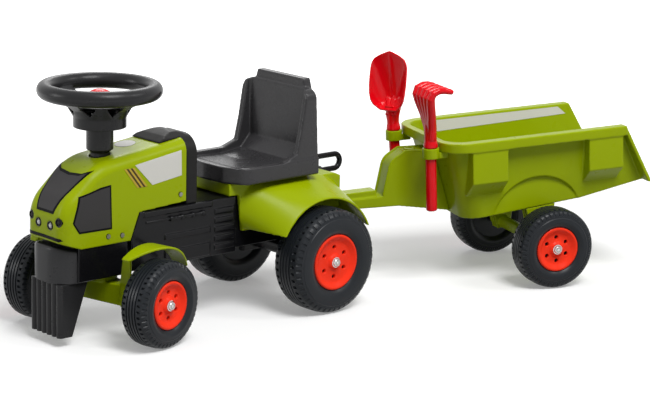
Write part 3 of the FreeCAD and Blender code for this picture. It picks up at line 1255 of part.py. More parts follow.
steering_frame = Placement(Vector(float(s.wheelbase), 0, 0), Rotation(Vector(0, 0, 1), float(s.steer_angle)))
reach = math.hypot(float(s.eye_x), float(s.eye_z))
lift = float(s.hitch_height - s.small_wheel_radius)
nose_down = math.degrees(math.acos(lift / reach) - math.atan2(float(s.eye_x), float(s.eye_z)))
swing = Rotation(Vector(0, 0, 1), -float(s.trailer_swing)) * Rotation(Vector(0, 1, 0), nose_down)
at_hitch = Placement(Vector(float(s.hitch_x), 0, float(s.hitch_height)), swing)
trailer_frame = at_hitch * Placement(Vector(-float(s.eye_x), 0, -float(s.eye_z)), Rotation())
FRAMES = {"tractor": Placement(), "steering": steering_frame, "trailer": trailer_frame}

for thing, frame in pieces:
    thing.Placement = FRAMES[frame] * thing.Placement
doc.recompute()

whole = FreeCAD.BoundBox()
for thing, frame in pieces:
    whole.add(thing.Shape.optimalBoundingBox(False))
origin = Vector(-whole.Center.x, -whole.Center.y, -whole.ZMin)
for thing, frame in pieces:
    thing.Placement = Placement(origin, Rotation()) * thing.Placement
doc.recompute()

faults = []
for thing in doc.Objects:
    if "Invalid" in thing.State or "Error" in thing.State:
        faults.append(thing.Label)
for thing, frame in pieces:
    if thing.Shape.isNull() or not thing.Shape.isValid() or not thing.Shape.Solids:
        faults.append(thing.Label + " has no sound solid")
if faults:
    raise RuntimeError("not built: " + ", ".join(faults))
for thing, frame in pieces:
    thing.Shape.exportStep("parts/%s.step" % thing.Label)
print("%d sub-parts, tractor origin at (%.3f, %.3f, %.3f), trailer nose down %.3f degrees" % (
    len(pieces), origin.x, origin.y, origin.z, nose_down))
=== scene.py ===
"""Looks of the ride-on toy tractor with its trailer, shovel and rake."""
import json
import math

import bmesh
import bpy
from mathutils import Matrix, Vector
from mathutils.bvhtree import BVHTree


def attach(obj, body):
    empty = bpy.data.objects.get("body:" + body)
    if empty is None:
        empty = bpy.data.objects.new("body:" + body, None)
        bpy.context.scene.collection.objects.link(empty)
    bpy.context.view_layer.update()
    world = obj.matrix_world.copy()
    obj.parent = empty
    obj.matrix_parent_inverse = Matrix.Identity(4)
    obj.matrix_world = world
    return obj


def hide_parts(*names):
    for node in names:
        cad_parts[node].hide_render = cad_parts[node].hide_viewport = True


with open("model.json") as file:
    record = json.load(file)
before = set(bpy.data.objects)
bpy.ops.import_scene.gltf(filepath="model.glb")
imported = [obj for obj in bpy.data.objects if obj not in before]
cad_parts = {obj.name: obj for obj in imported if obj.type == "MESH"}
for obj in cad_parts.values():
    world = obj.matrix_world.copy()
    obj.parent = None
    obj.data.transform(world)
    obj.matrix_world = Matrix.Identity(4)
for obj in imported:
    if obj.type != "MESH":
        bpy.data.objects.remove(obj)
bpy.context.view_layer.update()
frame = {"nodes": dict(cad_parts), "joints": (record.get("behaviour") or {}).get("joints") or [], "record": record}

NODES = frame["nodes"]
RECORD = frame["record"]
JOINTS = {joint["name"]: joint for joint in frame["joints"]}
BODY = {node: body for body, nodes in RECORD["behaviour"]["bodies"].items() for node in nodes}
SLOT = {entry["node"]: entry["material_slot"] for entry in RECORD["subparts"]}
MM = 0.001

# Frames of the three main bodies, read from the joints. Points in them are in millimetres.

WHEELBASE = 370.0


def joint_point(name):
    return Vector(JOINTS[name]["pos_m"])


def joint_axis(name):
    return Vector(JOINTS[name]["axis"]).normalized()


def axes_frame(across, up, origin):
    """Frame whose Y is across and whose Z is up, scaled from millimetres to metres."""
    columns = (across.cross(up), across, up)
    turn = Matrix([[columns[c][r] for c in range(3)] for r in range(3)]).to_4x4()
    return Matrix.Translation(origin) @ turn @ Matrix.Scale(MM, 4)


STEERING_AXIS = joint_point("steering_turn")
UP = Vector((0, 0, 1))
TRACTOR = axes_frame(Vector((0, 1, 0)), UP, Vector((STEERING_AXIS.x - WHEELBASE * MM, STEERING_AXIS.y, 0)))
STEERING = axes_frame(joint_axis("front_wheel_left_spin"), UP, Vector((STEERING_AXIS.x, STEERING_AXIS.y, 0)))
TRAILER = axes_frame(joint_axis("trailer_wheel_left_spin"), joint_axis("rake_lift"),
                     (joint_point("trailer_wheel_left_spin") + joint_point("trailer_wheel_right_spin")) / 2)


# Materials: moulded plastics and pressed steel, each with its own grain, tint and gloss variation.

PATCH_SCALE, SMUDGE_SCALE, STREAK_SCALE = 14.0, 45.0, 320.0
GRAIN_HEIGHT = 0.0002
# Pointiness range over which the painted highlight on raised edges fades in.
EDGE_HIGHLIGHT_RANGE = (0.53, 0.62)


def shader(name):
    material = bpy.data.materials.new(name)
    material.use_nodes = True
    return material, material.node_tree, material.node_tree.nodes["Principled BSDF"]


def noise(tree, scale, detail=3.0):
    coordinates = tree.nodes.new("ShaderNodeTexCoord")
    texture = tree.nodes.new("ShaderNodeTexNoise")
    texture.inputs["Scale"].default_value = scale
    texture.inputs["Detail"].default_value = detail
    tree.links.new(coordinates.outputs["Object"], texture.inputs["Vector"])
    return texture


def spread(tree, source, low, high):
    """The source's middle range mapped to low and high."""
    reach = tree.nodes.new("ShaderNodeMapRange")
    reach.inputs["From Min"].default_value = 0.3
    reach.inputs["From Max"].default_value = 0.7
    reach.inputs["To Min"].default_value = low
    reach.inputs["To Max"].default_value = high
    tree.links.new(source.outputs["Fac"], reach.inputs["Value"])
    return reach


def tinted(tree, source, first, second):
    mix = tree.nodes.new("ShaderNodeMix")
    mix.data_type = "RGBA"
    mix.inputs["A"].default_value = (*first, 1)
    mix.inputs["B"].default_value = (*second, 1)
    tree.links.new(source.outputs["Fac"], mix.inputs["Factor"])
    return mix


def painted_edge_highlights(tree, base, colour):
    """The base colour with a lighter one on raised edges, where it is painted as a highlight that makes them stand
    out brighter.
    """
    shape = tree.nodes.new("ShaderNodeNewGeometry")
    reach = tree.nodes.new("ShaderNodeMapRange")
    reach.inputs["From Min"].default_value, reach.inputs["From Max"].default_value = EDGE_HIGHLIGHT_RANGE
    tree.links.new(shape.outputs["Pointiness"], reach.inputs["Value"])
    mix = tree.nodes.new("ShaderNodeMix")
    mix.data_type = "RGBA"
    mix.inputs["B"].default_value = (*colour, 1)
    tree.links.new(base.outputs["Result"], mix.inputs["A"])
    tree.links.new(reach.outputs["Result"], mix.inputs["Factor"])
    return mix


def moulded_plastic(name, colour, roughness, grain=0.15, grain_scale=1400.0, variation=0.06, ior=1.25,
                    edge=None):
    material, tree, surface = shader(name)
    patches = noise(tree, PATCH_SCALE)
    darker = [c * (1 - variation) for c in colour]
    lighter = [min(1.0, c * (1 + variation)) for c in colour]
    base = tinted(tree, patches, darker, lighter)
    # edge, when given, is the colour of a painted highlight laid on raised edges.
    if edge is not None:
        base = painted_edge_highlights(tree, base, edge)
    tree.links.new(base.outputs["Result"], surface.inputs["Base Color"])
    smudges = noise(tree, SMUDGE_SCALE, 5.0)
    gloss = spread(tree, smudges, roughness * 0.86, roughness * 1.14)
    tree.links.new(gloss.outputs["Result"], surface.inputs["Roughness"])
    pores = noise(tree, grain_scale, 2.0)
    bump = tree.nodes.new("ShaderNodeBump")
    bump.inputs["Strength"].default_value = grain
    bump.inputs["Distance"].default_value = GRAIN_HEIGHT
    tree.links.new(pores.outputs["Fac"], bump.inputs["Height"])
    tree.links.new(bump.outputs["Normal"], surface.inputs["Normal"])
    surface.inputs["IOR"].default_value = ior
    return material


def pressed_steel(name, colour, roughness):
    material, tree, surface = shader(name)
    streaks = noise(tree, STREAK_SCALE, 6.0)
    darker = [c * 0.82 for c in colour]
    tree.links.new(tinted(tree, streaks, darker, colour).outputs["Result"], surface.inputs["Base Color"])
    gloss = spread(tree, streaks, roughness * 0.8, roughness * 1.25)
    tree.links.new(gloss.outputs["Result"], surface.inputs["Roughness"])
    surface.inputs["Metallic"].default_value = 1.0
    return material


GREEN = moulded_plastic("green_plastic", (0.310, 0.400, 0.001), 0.30, grain=0.05, variation=0.04, ior=1.20)
# Black, grained and seat plastics carry a painted highlight on their raised edges, in their edge colour.
BLACK = moulded_plastic("black_plastic", (0.005, 0.005, 0.006), 0.22, grain=0.10, ior=1.26,
                        edge=(0.060, 0.060, 0.064))
WHEEL_BLACK = moulded_plastic("grained_plastic", (0.018, 0.018, 0.019), 0.30, grain=0.25, ior=1.28,
                              edge=(0.060, 0.060, 0.063))
SEAT_BLACK = moulded_plastic("seat_plastic", (0.031, 0.030, 0.032), 0.28, grain=0.22, ior=1.33,
                             edge=(0.075, 0.073, 0.076))
GREY = moulded_plastic("dark_grey_plastic", (0.014, 0.0135, 0.013), 0.42, grain=0.25, grain_scale=1000.0,
                       ior=1.20)
RED = moulded_plastic("red_plastic", (0.78, 0.0015, 0.008), 0.18, grain=0.03, variation=0.03, ior=1.27)
RIM_RED = moulded_plastic("rim_plastic", (0.97, 0.042, 0.015), 0.26, grain=0.05, variation=0.04, ior=1.16)
TYRE = moulded_plastic("tyre_plastic", (0.013, 0.0155, 0.019), 0.32, grain=0.3, grain_scale=900.0,
                       variation=0.12, ior=1.28)
LABEL = moulded_plastic("label_film", (0.66, 0.65, 0.61), 0.38, grain=0.04, variation=0.02)
STRIPE_GOLD = moulded_plastic("stripe_gold_film", (0.50, 0.36, 0.045), 0.35, grain=0.04, variation=0.03)
STRIPE_BROWN = moulded_plastic("stripe_brown_film", (0.050, 0.028, 0.008), 0.35, grain=0.04, variation=0.03)
BORDER = moulded_plastic("grille_border_film", (0.003, 0.003, 0.003), 0.40, grain=0.05, ior=1.15)
GRILLE = moulded_plastic("grille_film", (0.036, 0.034, 0.035), 0.40, grain=0.35, grain_scale=500.0)
LAMP_BRIGHT = moulded_plastic("lamp_silver_plastic", (0.62, 0.62, 0.63), 0.16, grain=0.02, ior=1.55)
LAMP_DARK = moulded_plastic("lamp_dark_plastic", (0.012, 0.012, 0.013), 0.22, grain=0.02, ior=1.45)
STEEL = pressed_steel("drawn_steel", (0.40, 0.39, 0.37), 0.36)
SCREW_STEEL = pressed_steel("screw_steel", (0.24, 0.24, 0.21), 0.45)
BRIGHT = pressed_steel("bright_steel", (0.62, 0.61, 0.60), 0.18)

SLOT_MATERIAL = {"green_plastic": GREEN, "black_plastic": BLACK, "dark_grey_plastic": GREY,
                 "red_plastic": RED, "lamp_plastic": LAMP_DARK, "steel": STEEL, "bright_steel": BRIGHT,
                 "tyre_plastic": TYRE, "rim_plastic": RIM_RED}

for node, cad in NODES.items():
    cad.data.materials.clear()
    cad.data.materials.append(SCREW_STEEL if node == "hood_screws" else SLOT_MATERIAL[SLOT[node]])


# Pieces

def add_piece(name, mesh, materials, node, stands_for=True, sharp=35.0):
    """Shows a mesh as a piece that moves with the node's body and, if asked, takes the node's place."""
    mesh.name = name
    mesh.materials.clear()
    for material in materials:
        mesh.materials.append(material)
    mesh.shade_smooth()
    mesh.set_sharp_from_angle(angle=math.radians(sharp))
    piece = bpy.data.objects.new(name, mesh)
    bpy.context.scene.collection.objects.link(piece)
    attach(piece, BODY[node])
    if stands_for:
        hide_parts(node)
    return piece


def finished_mesh(piece):
    """The piece's mesh with its modifiers applied; the piece itself is dropped."""
    bpy.context.view_layer.update()
    graph = bpy.context.evaluated_depsgraph_get()
    mesh = bpy.data.meshes.new_from_object(piece.evaluated_get(graph), depsgraph=graph)
    bpy.data.objects.remove(piece)
    return mesh


def draft_piece(mesh):
    draft = bpy.data.objects.new("draft", mesh)
    bpy.context.scene.collection.objects.link(draft)
    return draft


def carved(mesh, cutter):
    """The closed mesh without what the cutter mesh takes out of it."""
    draft, knife = draft_piece(mesh), draft_piece(cutter)
    cut = draft.modifiers.new("cut", "BOOLEAN")
    cut.operation = "DIFFERENCE"
    cut.object = knife
    rest = finished_mesh(draft)
    bpy.data.objects.remove(knife)
    return rest


def softened(mesh, voxel, passes, keep=0.3):
    """The closed mesh as one moulded skin whose edges are rounded by the smoothing passes."""
    draft = draft_piece(mesh)
    remesh = draft.modifiers.new("skin", "REMESH")
    remesh.mode = "VOXEL"
    remesh.voxel_size = voxel * MM
    smooth = draft.modifiers.new("round", "SMOOTH")
    smooth.factor = 0.5
    smooth.iterations = passes
    fewer = draft.modifiers.new("fewer", "DECIMATE")
    fewer.ratio = keep
    return finished_mesh(draft)


def mesh_of(form, name, place):
    """Mesh of a form drawn in millimetres, moved into its frame."""
    bmesh.ops.recalc_face_normals(form, faces=form.faces)
    mesh = bpy.data.meshes.new(name)
    form.to_mesh(mesh)
    form.free()
    mesh.transform(place)
    return mesh


def lathe(form, profile, steps=40, closed=False):
    """Adds a form turned about the Y axis from pairs of radius and height; a radius of nought is a pole."""
    rings = []
    for radius, along in profile:
        if radius == 0:
            rings.append([form.verts.new((0, along, 0))] * steps)
            continue
        angles = [2 * math.pi * step / steps for step in range(steps)]
        rings.append([form.verts.new((radius * math.cos(a), along, radius * math.sin(a))) for a in angles])
    pairs = list(zip(rings, rings[1:]))
    if closed:
        pairs.append((rings[-1], rings[0]))
    for low, high in pairs:
        for step in range(steps):
            after = (step + 1) % steps
            form.faces.new(dict.fromkeys((low[step], low[after], high[after], high[step])))


def tube(form, points, radii, sides=14):
    """Adds a closed tube along the points, with a radius at each of them."""
    spots = [Vector(point) for point in points]
    rings = []
    across = (spots[1] - spots[0]).orthogonal()
    for index, spot in enumerate(spots):
        way = (spots[min(index + 1, len(spots) - 1)] - spots[max(index - 1, 0)]).normalized()
        across = (across - way * across.dot(way)).normalized()
        other = way.cross(across)
        angles = [2 * math.pi * side / sides for side in range(sides)]
        rings.append([form.verts.new(spot + (across * math.cos(a) + other * math.sin(a)) * radii[index])
                      for a in angles])
    for low, high in zip(rings, rings[1:]):
        for side in range(sides):
            after = (side + 1) % sides
            form.faces.new((low[side], low[after], high[after], high[side]))
    form.faces.new(rings[0])
    form.faces.new(rings[-1])


def facing(point, outward):
    """Millimetre frame at a point in metres whose Y axis looks outward."""
    return axes_frame(outward, (UP - outward * UP.dot(outward)).normalized(), point)


def tree_of(mesh):
    corners = [vert.co for vert in mesh.vertices]
    return BVHTree.FromPolygons(corners, [face.vertices for face in mesh.polygons])


def landing(tree, start, end):
    """Where a ray between two points meets a skin, and the skin's outward side there."""
    hit, normal = tree.ray_cast(start, (end - start).normalized())[:2]
    if hit is None:
        raise ValueError("a ray misses its skin")
    return hit, normal if normal.dot(start - end) > 0 else -normal


# Cuts in the skins: sockets of the four lamps, and the pockets between the webs under the steering wheel.

LAMPS = [(side * across, height, bright) for side in (1, -1)
         for across, height, bright in ((15.5, 193.0, True), (36.0, 201.0, False))]
LAMP_RADIUS, SOCKET_DEPTH, SOCKET_OUT = 6.9, 5.0, 6.0
LAMP_EDGE = ((9, 0), (-9, 0), (0, 9), (0, -9))
POCKETS = 8
POCKET_HALF = 13.0
POCKET_RADII = (36.0, 75.0)
POCKET_HEIGHTS = (357.0, 371.5)

hood_tree = tree_of(NODES["hood"].data)
lamp_frames = []
sockets = bmesh.new()
for across, height, bright in LAMPS:
    around = [landing(hood_tree, TRACTOR @ Vector((520, across + y, height + z)),
                      TRACTOR @ Vector((400, across + y, height + z))) for y, z in LAMP_EDGE]
    spot = sum((hit for hit, outward in around), Vector()) / len(around)
    outward = sum((outward for hit, outward in around), Vector((len(around), 0, 0)))
    lamp_frames.append(facing(spot, outward.normalized()))
    socket = bmesh.new()
    lathe(socket, [(0, -SOCKET_DEPTH), (LAMP_RADIUS, -SOCKET_DEPTH), (LAMP_RADIUS, SOCKET_OUT),
                   (0, SOCKET_OUT)], 32)
    socket_mesh = mesh_of(socket, "socket", lamp_frames[-1])
    sockets.from_mesh(socket_mesh)

pockets = bmesh.new()
low, high = POCKET_HEIGHTS
for index in range(POCKETS):
    turn = Matrix.Rotation(2 * math.pi * (index + 0.5) / POCKETS, 3, "Z")
    ends = []
    for radius in POCKET_RADII:
        corners = ((radius, -POCKET_HALF, high), (radius, POCKET_HALF, high), (radius, 0, low))
        ends.append([pockets.verts.new(turn @ Vector(corner)) for corner in corners])
    for end in ends:
        pockets.faces.new(end)
    for side in range(3):
        after = (side + 1) % 3
        pockets.faces.new((ends[0][side], ends[0][after], ends[1][after], ends[1][side]))

CUTTERS = {"hood": mesh_of(sockets, "lamp_sockets", Matrix.Identity(4)),
           "steering_wheel": mesh_of(pockets, "bowl_pockets", STEERING)}

MOULDED = (
    # node, material, voxel size, smoothing passes
    ("chassis", BLACK, 1.0, 3), ("front_weight", WHEEL_BLACK, 0.8, 1), ("hood", GREEN, 1.4, 4),
    ("cowl", GREY, 1.4, 8), ("rear_body", GREEN, 1.2, 12), ("seat", SEAT_BLACK, 1.5, 12),
    ("steering_wheel", WHEEL_BLACK, 1.2, 4), ("column_cover", WHEEL_BLACK, 1.0, 4),
    ("horn_button", RED, 0.8, 4), ("front_axle_carrier", GREEN, 1.4, 6),
    ("front_fender_left", GREEN, 1.0, 8), ("front_fender_right", GREEN, 1.0, 8),
    ("trailer_tub", GREEN, 1.4, 6), ("drawbar", GREEN, 1.3, 6), ("trailer_axle_bracket", GREEN, 1.2, 3),
    ("tool_ring_left", GREEN, 0.9, 3), ("tool_ring_right", GREEN, 0.9, 3),
)
SKINS = {}
for node, material, voxel, passes in MOULDED:
    blank = NODES[node].data.copy()
    if node in CUTTERS:
        blank = carved(blank, CUTTERS[node])
    SKINS[node] = add_piece(node + "_skin", softened(blank, voxel, passes), [material], node, sharp=60.0)


# Lamps: a dark cup in each socket with a domed lens in it.

for number, (place, (across, height, bright)) in enumerate(zip(lamp_frames, LAMPS)):
    cup = bmesh.new()
    lathe(cup, [(0, -SOCKET_DEPTH), (LAMP_RADIUS, -SOCKET_DEPTH), (LAMP_RADIUS, 0.5), (6.3, 0.9),
                (5.7, 0.5), (5.2, -1.8), (0, -2.4)], 32)
    add_piece("lamp_cup_%d" % number, mesh_of(cup, "cup", place), [LAMP_DARK], "headlights")
    lens = bmesh.new()
    lathe(lens, [(0, -3), (4.7, -3), (4.7, -1.6), (3.7, -0.3), (2.1, 0.5), (0, 0.8)], 32)
    lens_material = LAMP_BRIGHT if bright else GREY
    lens_mesh = mesh_of(lens, "lens", place)
    add_piece("lamp_lens_%d" % number, lens_mesh, [lens_material], "headlights", sharp=60.0)


# Films on the skins: grilles with a dark border, bare labels, plain stripes, and a black film painted as the shade
# inside the chin slit.

FILM_STEP = 4.0
FILM_DEPTH = 0.5


def film(name, outline, frame_of, ray, node, material, replaces=None, lift=0.3):
    """Thin film on a node's skin; ray gives both ends, in the frame, of the line a point falls along."""
    form = bmesh.new()
    form.faces.new([form.verts.new((a, b, 0)) for a, b in outline])
    bmesh.ops.triangulate(form, faces=form.faces)
    for axis in (0, 1):
        reach = [corner[axis] for corner in outline]
        normal = Vector((1 - axis, axis, 0))
        for step in range(1, int((max(reach) - min(reach)) / FILM_STEP) + 1):
            bmesh.ops.bisect_plane(form, geom=form.verts[:] + form.edges[:] + form.faces[:],
                                   plane_co=normal * (min(reach) + step * FILM_STEP), plane_no=normal)
    tree = tree_of(SKINS[node].data)
    for vert in form.verts:
        start, end = [frame_of @ Vector(spot) for spot in ray(vert.co.x, vert.co.y)]
        hit, outward = landing(tree, start, end)
        vert.co = hit + outward * lift * MM
    draft = draft_piece(mesh_of(form, name, Matrix.Identity(4)))
    thick = draft.modifiers.new("thick", "SOLIDIFY")
    thick.thickness = FILM_DEPTH * MM
    thick.offset = 0
    add_piece(name, finished_mesh(draft), [material], replaces or node, stands_for=replaces is not None)


def from_front(a, b):
    return (540, a, b), (380, a, b)


def from_above(a, b):
    return (a, b, 350), (a, b, 270)


def from_left(a, b):
    return (a, 90, b), (a, 10, b)


def from_right(a, b):
    return (a, -90, b), (a, -10, b)


FRONT_BORDER = ((-41, 276), (-27, 270), (0, 268), (27, 270), (41, 276), (22, 212), (-22, 212))
FRONT_PANEL = ((-37, 272), (-25, 266.5), (0, 264.5), (25, 266.5), (37, 272), (19, 216), (-19, 216))
SIDE_BORDER = ((386, 252), (406, 250), (446, 240), (459, 200), (447, 182), (384, 181))
SIDE_PANEL = ((389, 249), (406, 247), (443.5, 238), (456, 199.5), (446, 185), (387, 184))
SIDE_LABEL = ((339, 277), (247, 290), (246, 249), (305, 241))
CHIN_SLIT_SHADE = ((-40, 176), (0, 176.5), (40, 176), (44, 173), (38, 170.8), (0, 171.4), (-38, 170.8), (-44, 173))
STRIPE_TOP, STRIPE_LOW, STRIPE_WIDTH = (340.5, 273), (314.5, 240), 4.0
STRIPES = (STRIPE_GOLD, STRIPE_BROWN, STRIPE_GOLD, STRIPE_BROWN, STRIPE_GOLD)
ROUND_MIDDLE, ROUND_RADIUS = (311, -13), 17
ROUND_LABEL = [(ROUND_MIDDLE[0] + ROUND_RADIUS * math.cos(math.radians(turn)),
                ROUND_MIDDLE[1] + ROUND_RADIUS * math.sin(math.radians(turn))) for turn in range(0, 360, 12)]
TRAILER_BAND = ((115, 193), (-128, 193), (-143, 179), (115, 173))

film("front_grille_border", FRONT_BORDER, TRACTOR, from_front, "hood", BORDER, "front_grille")
film("front_grille_panel", FRONT_PANEL, TRACTOR, from_front, "hood", GRILLE, lift=0.7)
# The chin slit is a black film on the hood's skin: painted shade where the slit's opening would be dark.
film("chin_slit_shade", CHIN_SLIT_SHADE, TRACTOR, from_front, "hood", BORDER)
film("round_label", ROUND_LABEL, TRACTOR, from_above, "hood", LABEL)
for side, ray in (("left", from_left), ("right", from_right)):
    film("side_grille_border_" + side, SIDE_BORDER, TRACTOR, ray, "hood", BORDER, "side_grille_" + side)
    film("side_grille_panel_" + side, SIDE_PANEL, TRACTOR, ray, "hood", GRILLE, lift=0.7)
    film("side_label_" + side, SIDE_LABEL, TRACTOR, ray, "hood", LABEL)
    for index, material in enumerate(STRIPES):
        near, far = index * STRIPE_WIDTH, (index + 1) * STRIPE_WIDTH
        stripe = [(STRIPE_TOP[0] + near, STRIPE_TOP[1]), (STRIPE_TOP[0] + far, STRIPE_TOP[1]),
                  (STRIPE_LOW[0] + far, STRIPE_LOW[1]), (STRIPE_LOW[0] + near, STRIPE_LOW[1])]
        film("stripe_%s_%d" % (side, index), stripe, TRACTOR, ray, "hood", material)
film("trailer_band", TRAILER_BAND, TRAILER, lambda a, b: ((a, 0, b), (a, -150, b)), "trailer_tub", LABEL)


# Engine sides: a rod with collars, and a bead that runs on from it to the front.

ROD_ENDS, ROD_HEIGHT, ROD_OUT = (272.0, 199.0), 181.5, 53.5
ROD_RADIUS = 3.0
COLLARS = (268.0, 246.0, 224.0, 203.0)
COLLAR_STEPS = (-3.5, -2.5, 2.5, 3.5)
COLLAR_RADII = (3.2, 4.4, 4.4, 3.2)
BEAD_ENDS, BEAD_OUT, BEAD_RADIUS = (318.0, 270.0), 51.5, 2.4

for side, sign in (("left", 1), ("right", -1)):
    rod = bmesh.new()
    tube(rod, [(x, sign * ROD_OUT, ROD_HEIGHT) for x in ROD_ENDS], (ROD_RADIUS, ROD_RADIUS))
    for x in COLLARS:
        tube(rod, [(x + step, sign * ROD_OUT, ROD_HEIGHT) for step in COLLAR_STEPS], COLLAR_RADII)
    tube(rod, [(x, sign * BEAD_OUT, ROD_HEIGHT) for x in BEAD_ENDS], (BEAD_RADIUS, BEAD_RADIUS))
    rod_mesh = softened(mesh_of(rod, "rod", TRACTOR), 0.7, 2)
    add_piece("engine_rod_" + side, rod_mesh, [BLACK], "chassis", stands_for=False, sharp=60.0)


# Bumper: a soft-edged block whose top follows the hood's chin.

BUMPER_REAR, BUMPER_FRONT, BUMPER_HALF, BUMPER_CORNER = 425.0, 480.4, 44.4, 34.0
BUMPER_LOW = 100.6
CHIN_REAR, CHIN_SLOPE = (442.0, 153.5), 0.2
BUMPER_FOOT = 1.5
BUMPER_BROW = (
    # inset, drop below the chin line
    (0, 7.0), (0.6, 4.2), (2.2, 1.8), (4.6, 0.4), (7.0, 0),
)
CORNER_STEPS = 10


def bumper_ring(form, inset, height):
    """Ring of the bumper's plan, drawn in by the inset; the height depends on the place along the tractor."""
    half, front, corner = BUMPER_HALF - inset, BUMPER_FRONT - inset, BUMPER_CORNER - inset
    plan = [(BUMPER_REAR, -half)]
    for side in (-1, 1):
        for step in range(CORNER_STEPS + 1):
            share = step if side < 0 else CORNER_STEPS - step
            turn = math.radians(90 * share / CORNER_STEPS)
            across = half - corner + corner * math.cos(turn)
            plan.append((front - corner + corner * math.sin(turn), side * across))
    plan.append((BUMPER_REAR, half))
    return [form.verts.new((x, y, height(x))) for x, y in plan]


def chin_line(drop):
    return lambda x: CHIN_REAR[1] + CHIN_SLOPE * max(0, x - CHIN_REAR[0]) - drop


bumper = bmesh.new()
bumper_rings = [bumper_ring(bumper, BUMPER_FOOT, lambda x: BUMPER_LOW),
                bumper_ring(bumper, 0, lambda x: BUMPER_LOW + BUMPER_FOOT)]
for inset, drop in BUMPER_BROW:
    bumper_rings.append(bumper_ring(bumper, inset, chin_line(drop)))
bumper.faces.new(bumper_rings[0])
bumper.faces.new(bumper_rings[-1])
for lower, upper in zip(bumper_rings, bumper_rings[1:]):
    for index in range(len(lower)):
        after = (index + 1) % len(lower)
        bumper.faces.new((lower[index], lower[after], upper[after], upper[index]))
bumper_mesh = mesh_of(bumper, "bumper", TRACTOR)
add_piece("bumper_cover", bumper_mesh, [WHEEL_BLACK], "chassis", stands_for=False, sharp=40.0)


# Gooseneck: a bead along both upper edges and a flat boss on top.

BEAD_PATH = ((178, 169.4), (226.4, 172), (244.3, 162.4), (249, 158.9), (252.5, 155.5), (255.2, 151),
             (257.2, 145.8), (269, 98.5))
NECK_BEAD_OUT, NECK_BEAD_RADIUS = 17.3, 2.2
NECK_BOSS = (212.0, 0.0, 171.0)

neck_trim = bmesh.new()
for across in (-NECK_BEAD_OUT, NECK_BEAD_OUT):
    tube(neck_trim, [(x, across, z) for x, z in BEAD_PATH], [NECK_BEAD_RADIUS] * len(BEAD_PATH))
boss = bmesh.new()
lathe(boss, [(0, -2), (11, -2), (11, 1.6), (9.6, 2.4), (6.4, 2.4), (5.6, 1.0), (0, 1.0)])
boss_mesh = mesh_of(boss, "boss", facing(TRAILER @ Vector(NECK_BOSS), joint_axis("rake_lift")))
add_piece("neck_boss", boss_mesh, [GREEN], "drawbar", stands_for=False)
bead_mesh = mesh_of(neck_trim, "beads", TRAILER)
add_piece("neck_beads", bead_mesh, [GREEN], "drawbar", stands_for=False, sharp=60.0)


# Tools: each hangs in its ring by the collar above its grip. Drawn about the ring's axis.

RING_X, RING_Y, RING_MIDDLE, RING_TOP = 206.0, 80.0, 180.0, 189.8
GRIP = ((0, 78), (7.6, 78), (9.6, 80), (9.6, RING_TOP), (12.4, RING_TOP), (12.4, RING_TOP + 4),
        (10.8, RING_TOP + 12), (10.6, RING_TOP + 40), (0, RING_TOP + 40))
UPRIGHT = Matrix.Rotation(math.radians(90), 3, "X")


def grip(form):
    lathe(form, GRIP, 32)
    bmesh.ops.rotate(form, verts=form.verts, matrix=UPRIGHT)


RAKE_FINGERS = (-1.0, -0.5, 0.0, 0.5, 1.0)
RAKE_LINE = (
    # forward, spread, height, radius
    (0, 4, 205, 8.6), (1, 8, 225, 7.8), (5, 16, 248, 7.4), (10, 24, 268, 7.4), (12, 28, 280, 7.4),
    (8, 30, 289, 6.9), (-2, 31, 293, 6.2), (-12, 32, 292.5, 5.8), (-22, 32.5, 290, 5.2), (-27, 33, 288, 4.0),
)
RAKE_TURN = math.radians(2.0)

rake = bmesh.new()
grip(rake)
for finger in RAKE_FINGERS:
    tube(rake, [(forward, spread * finger, height) for forward, spread, height, radius in RAKE_LINE],
         [radius for forward, spread, height, radius in RAKE_LINE])
rake_place = TRAILER @ Matrix.Translation((RING_X, RING_Y, 0)) @ Matrix.Rotation(RAKE_TURN, 4, "Z")
rake_mesh = softened(mesh_of(rake, "rake", rake_place), 0.9, 4)
add_piece("rake_skin", rake_mesh, [RED], "rake", sharp=60.0)

SHOVEL_LEAN, SHOVEL_TURN = math.radians(2.5), math.radians(-56.0)
BLADE_LOW, BLADE_HIGH, BLADE_BACK, BLADE_DEPTH = 226.0, 331.0, -11.0, 31.0
BLADE_LINE = (
    # share of the height, half width, share of the wall height
    (0.0, 17, 0.70), (0.04, 23, 0.82), (0.10, 30, 0.90), (0.18, 35, 0.90), (0.30, 38, 0.82),
    (0.45, 39.5, 0.66), (0.60, 39.5, 0.48), (0.72, 39, 0.32), (0.80, 37, 0.22), (0.87, 32, 0.12),
    (0.93, 21, 0.05), (0.975, 9, 0.0), (1.0, 1.5, 0.0),
)
BLADE_COLUMNS = 28
HEEL_SHARE = 0.12
TIP_FORWARD = 8.0
BLADE_WALL = 2.6
RIDGE_HEIGHT, RIDGE_WIDTH = 1.6, 0.08
THUMB_BARS = (219, 226, 233)

blade = bmesh.new()
rows = []
for share, half, wall in BLADE_LINE:
    heel = BLADE_DEPTH * max(0.0, 1 - share / HEEL_SHARE) ** 2 * 0.8
    row = []
    for column in range(BLADE_COLUMNS + 1):
        place = 2 * column / BLADE_COLUMNS - 1
        ridge = RIDGE_HEIGHT * math.exp(-(place / RIDGE_WIDTH) ** 2) * min(1.0, 4 * (1 - share))
        hollow = BLADE_DEPTH * wall * (0.6 * place ** 2 + 0.4 * place ** 6)
        out = BLADE_BACK + TIP_FORWARD * share ** 2 + max(hollow, heel) + ridge
        row.append(blade.verts.new((half * place, out, BLADE_LOW + share * (BLADE_HIGH - BLADE_LOW))))
    rows.append(row)
for lower, upper in zip(rows, rows[1:]):
    for column in range(BLADE_COLUMNS):
        blade.faces.new((lower[column], lower[column + 1], upper[column + 1], upper[column]))
bmesh.ops.recalc_face_normals(blade, faces=blade.faces)
bmesh.ops.solidify(blade, geom=blade.faces[:], thickness=BLADE_WALL)
shovel = bmesh.new()
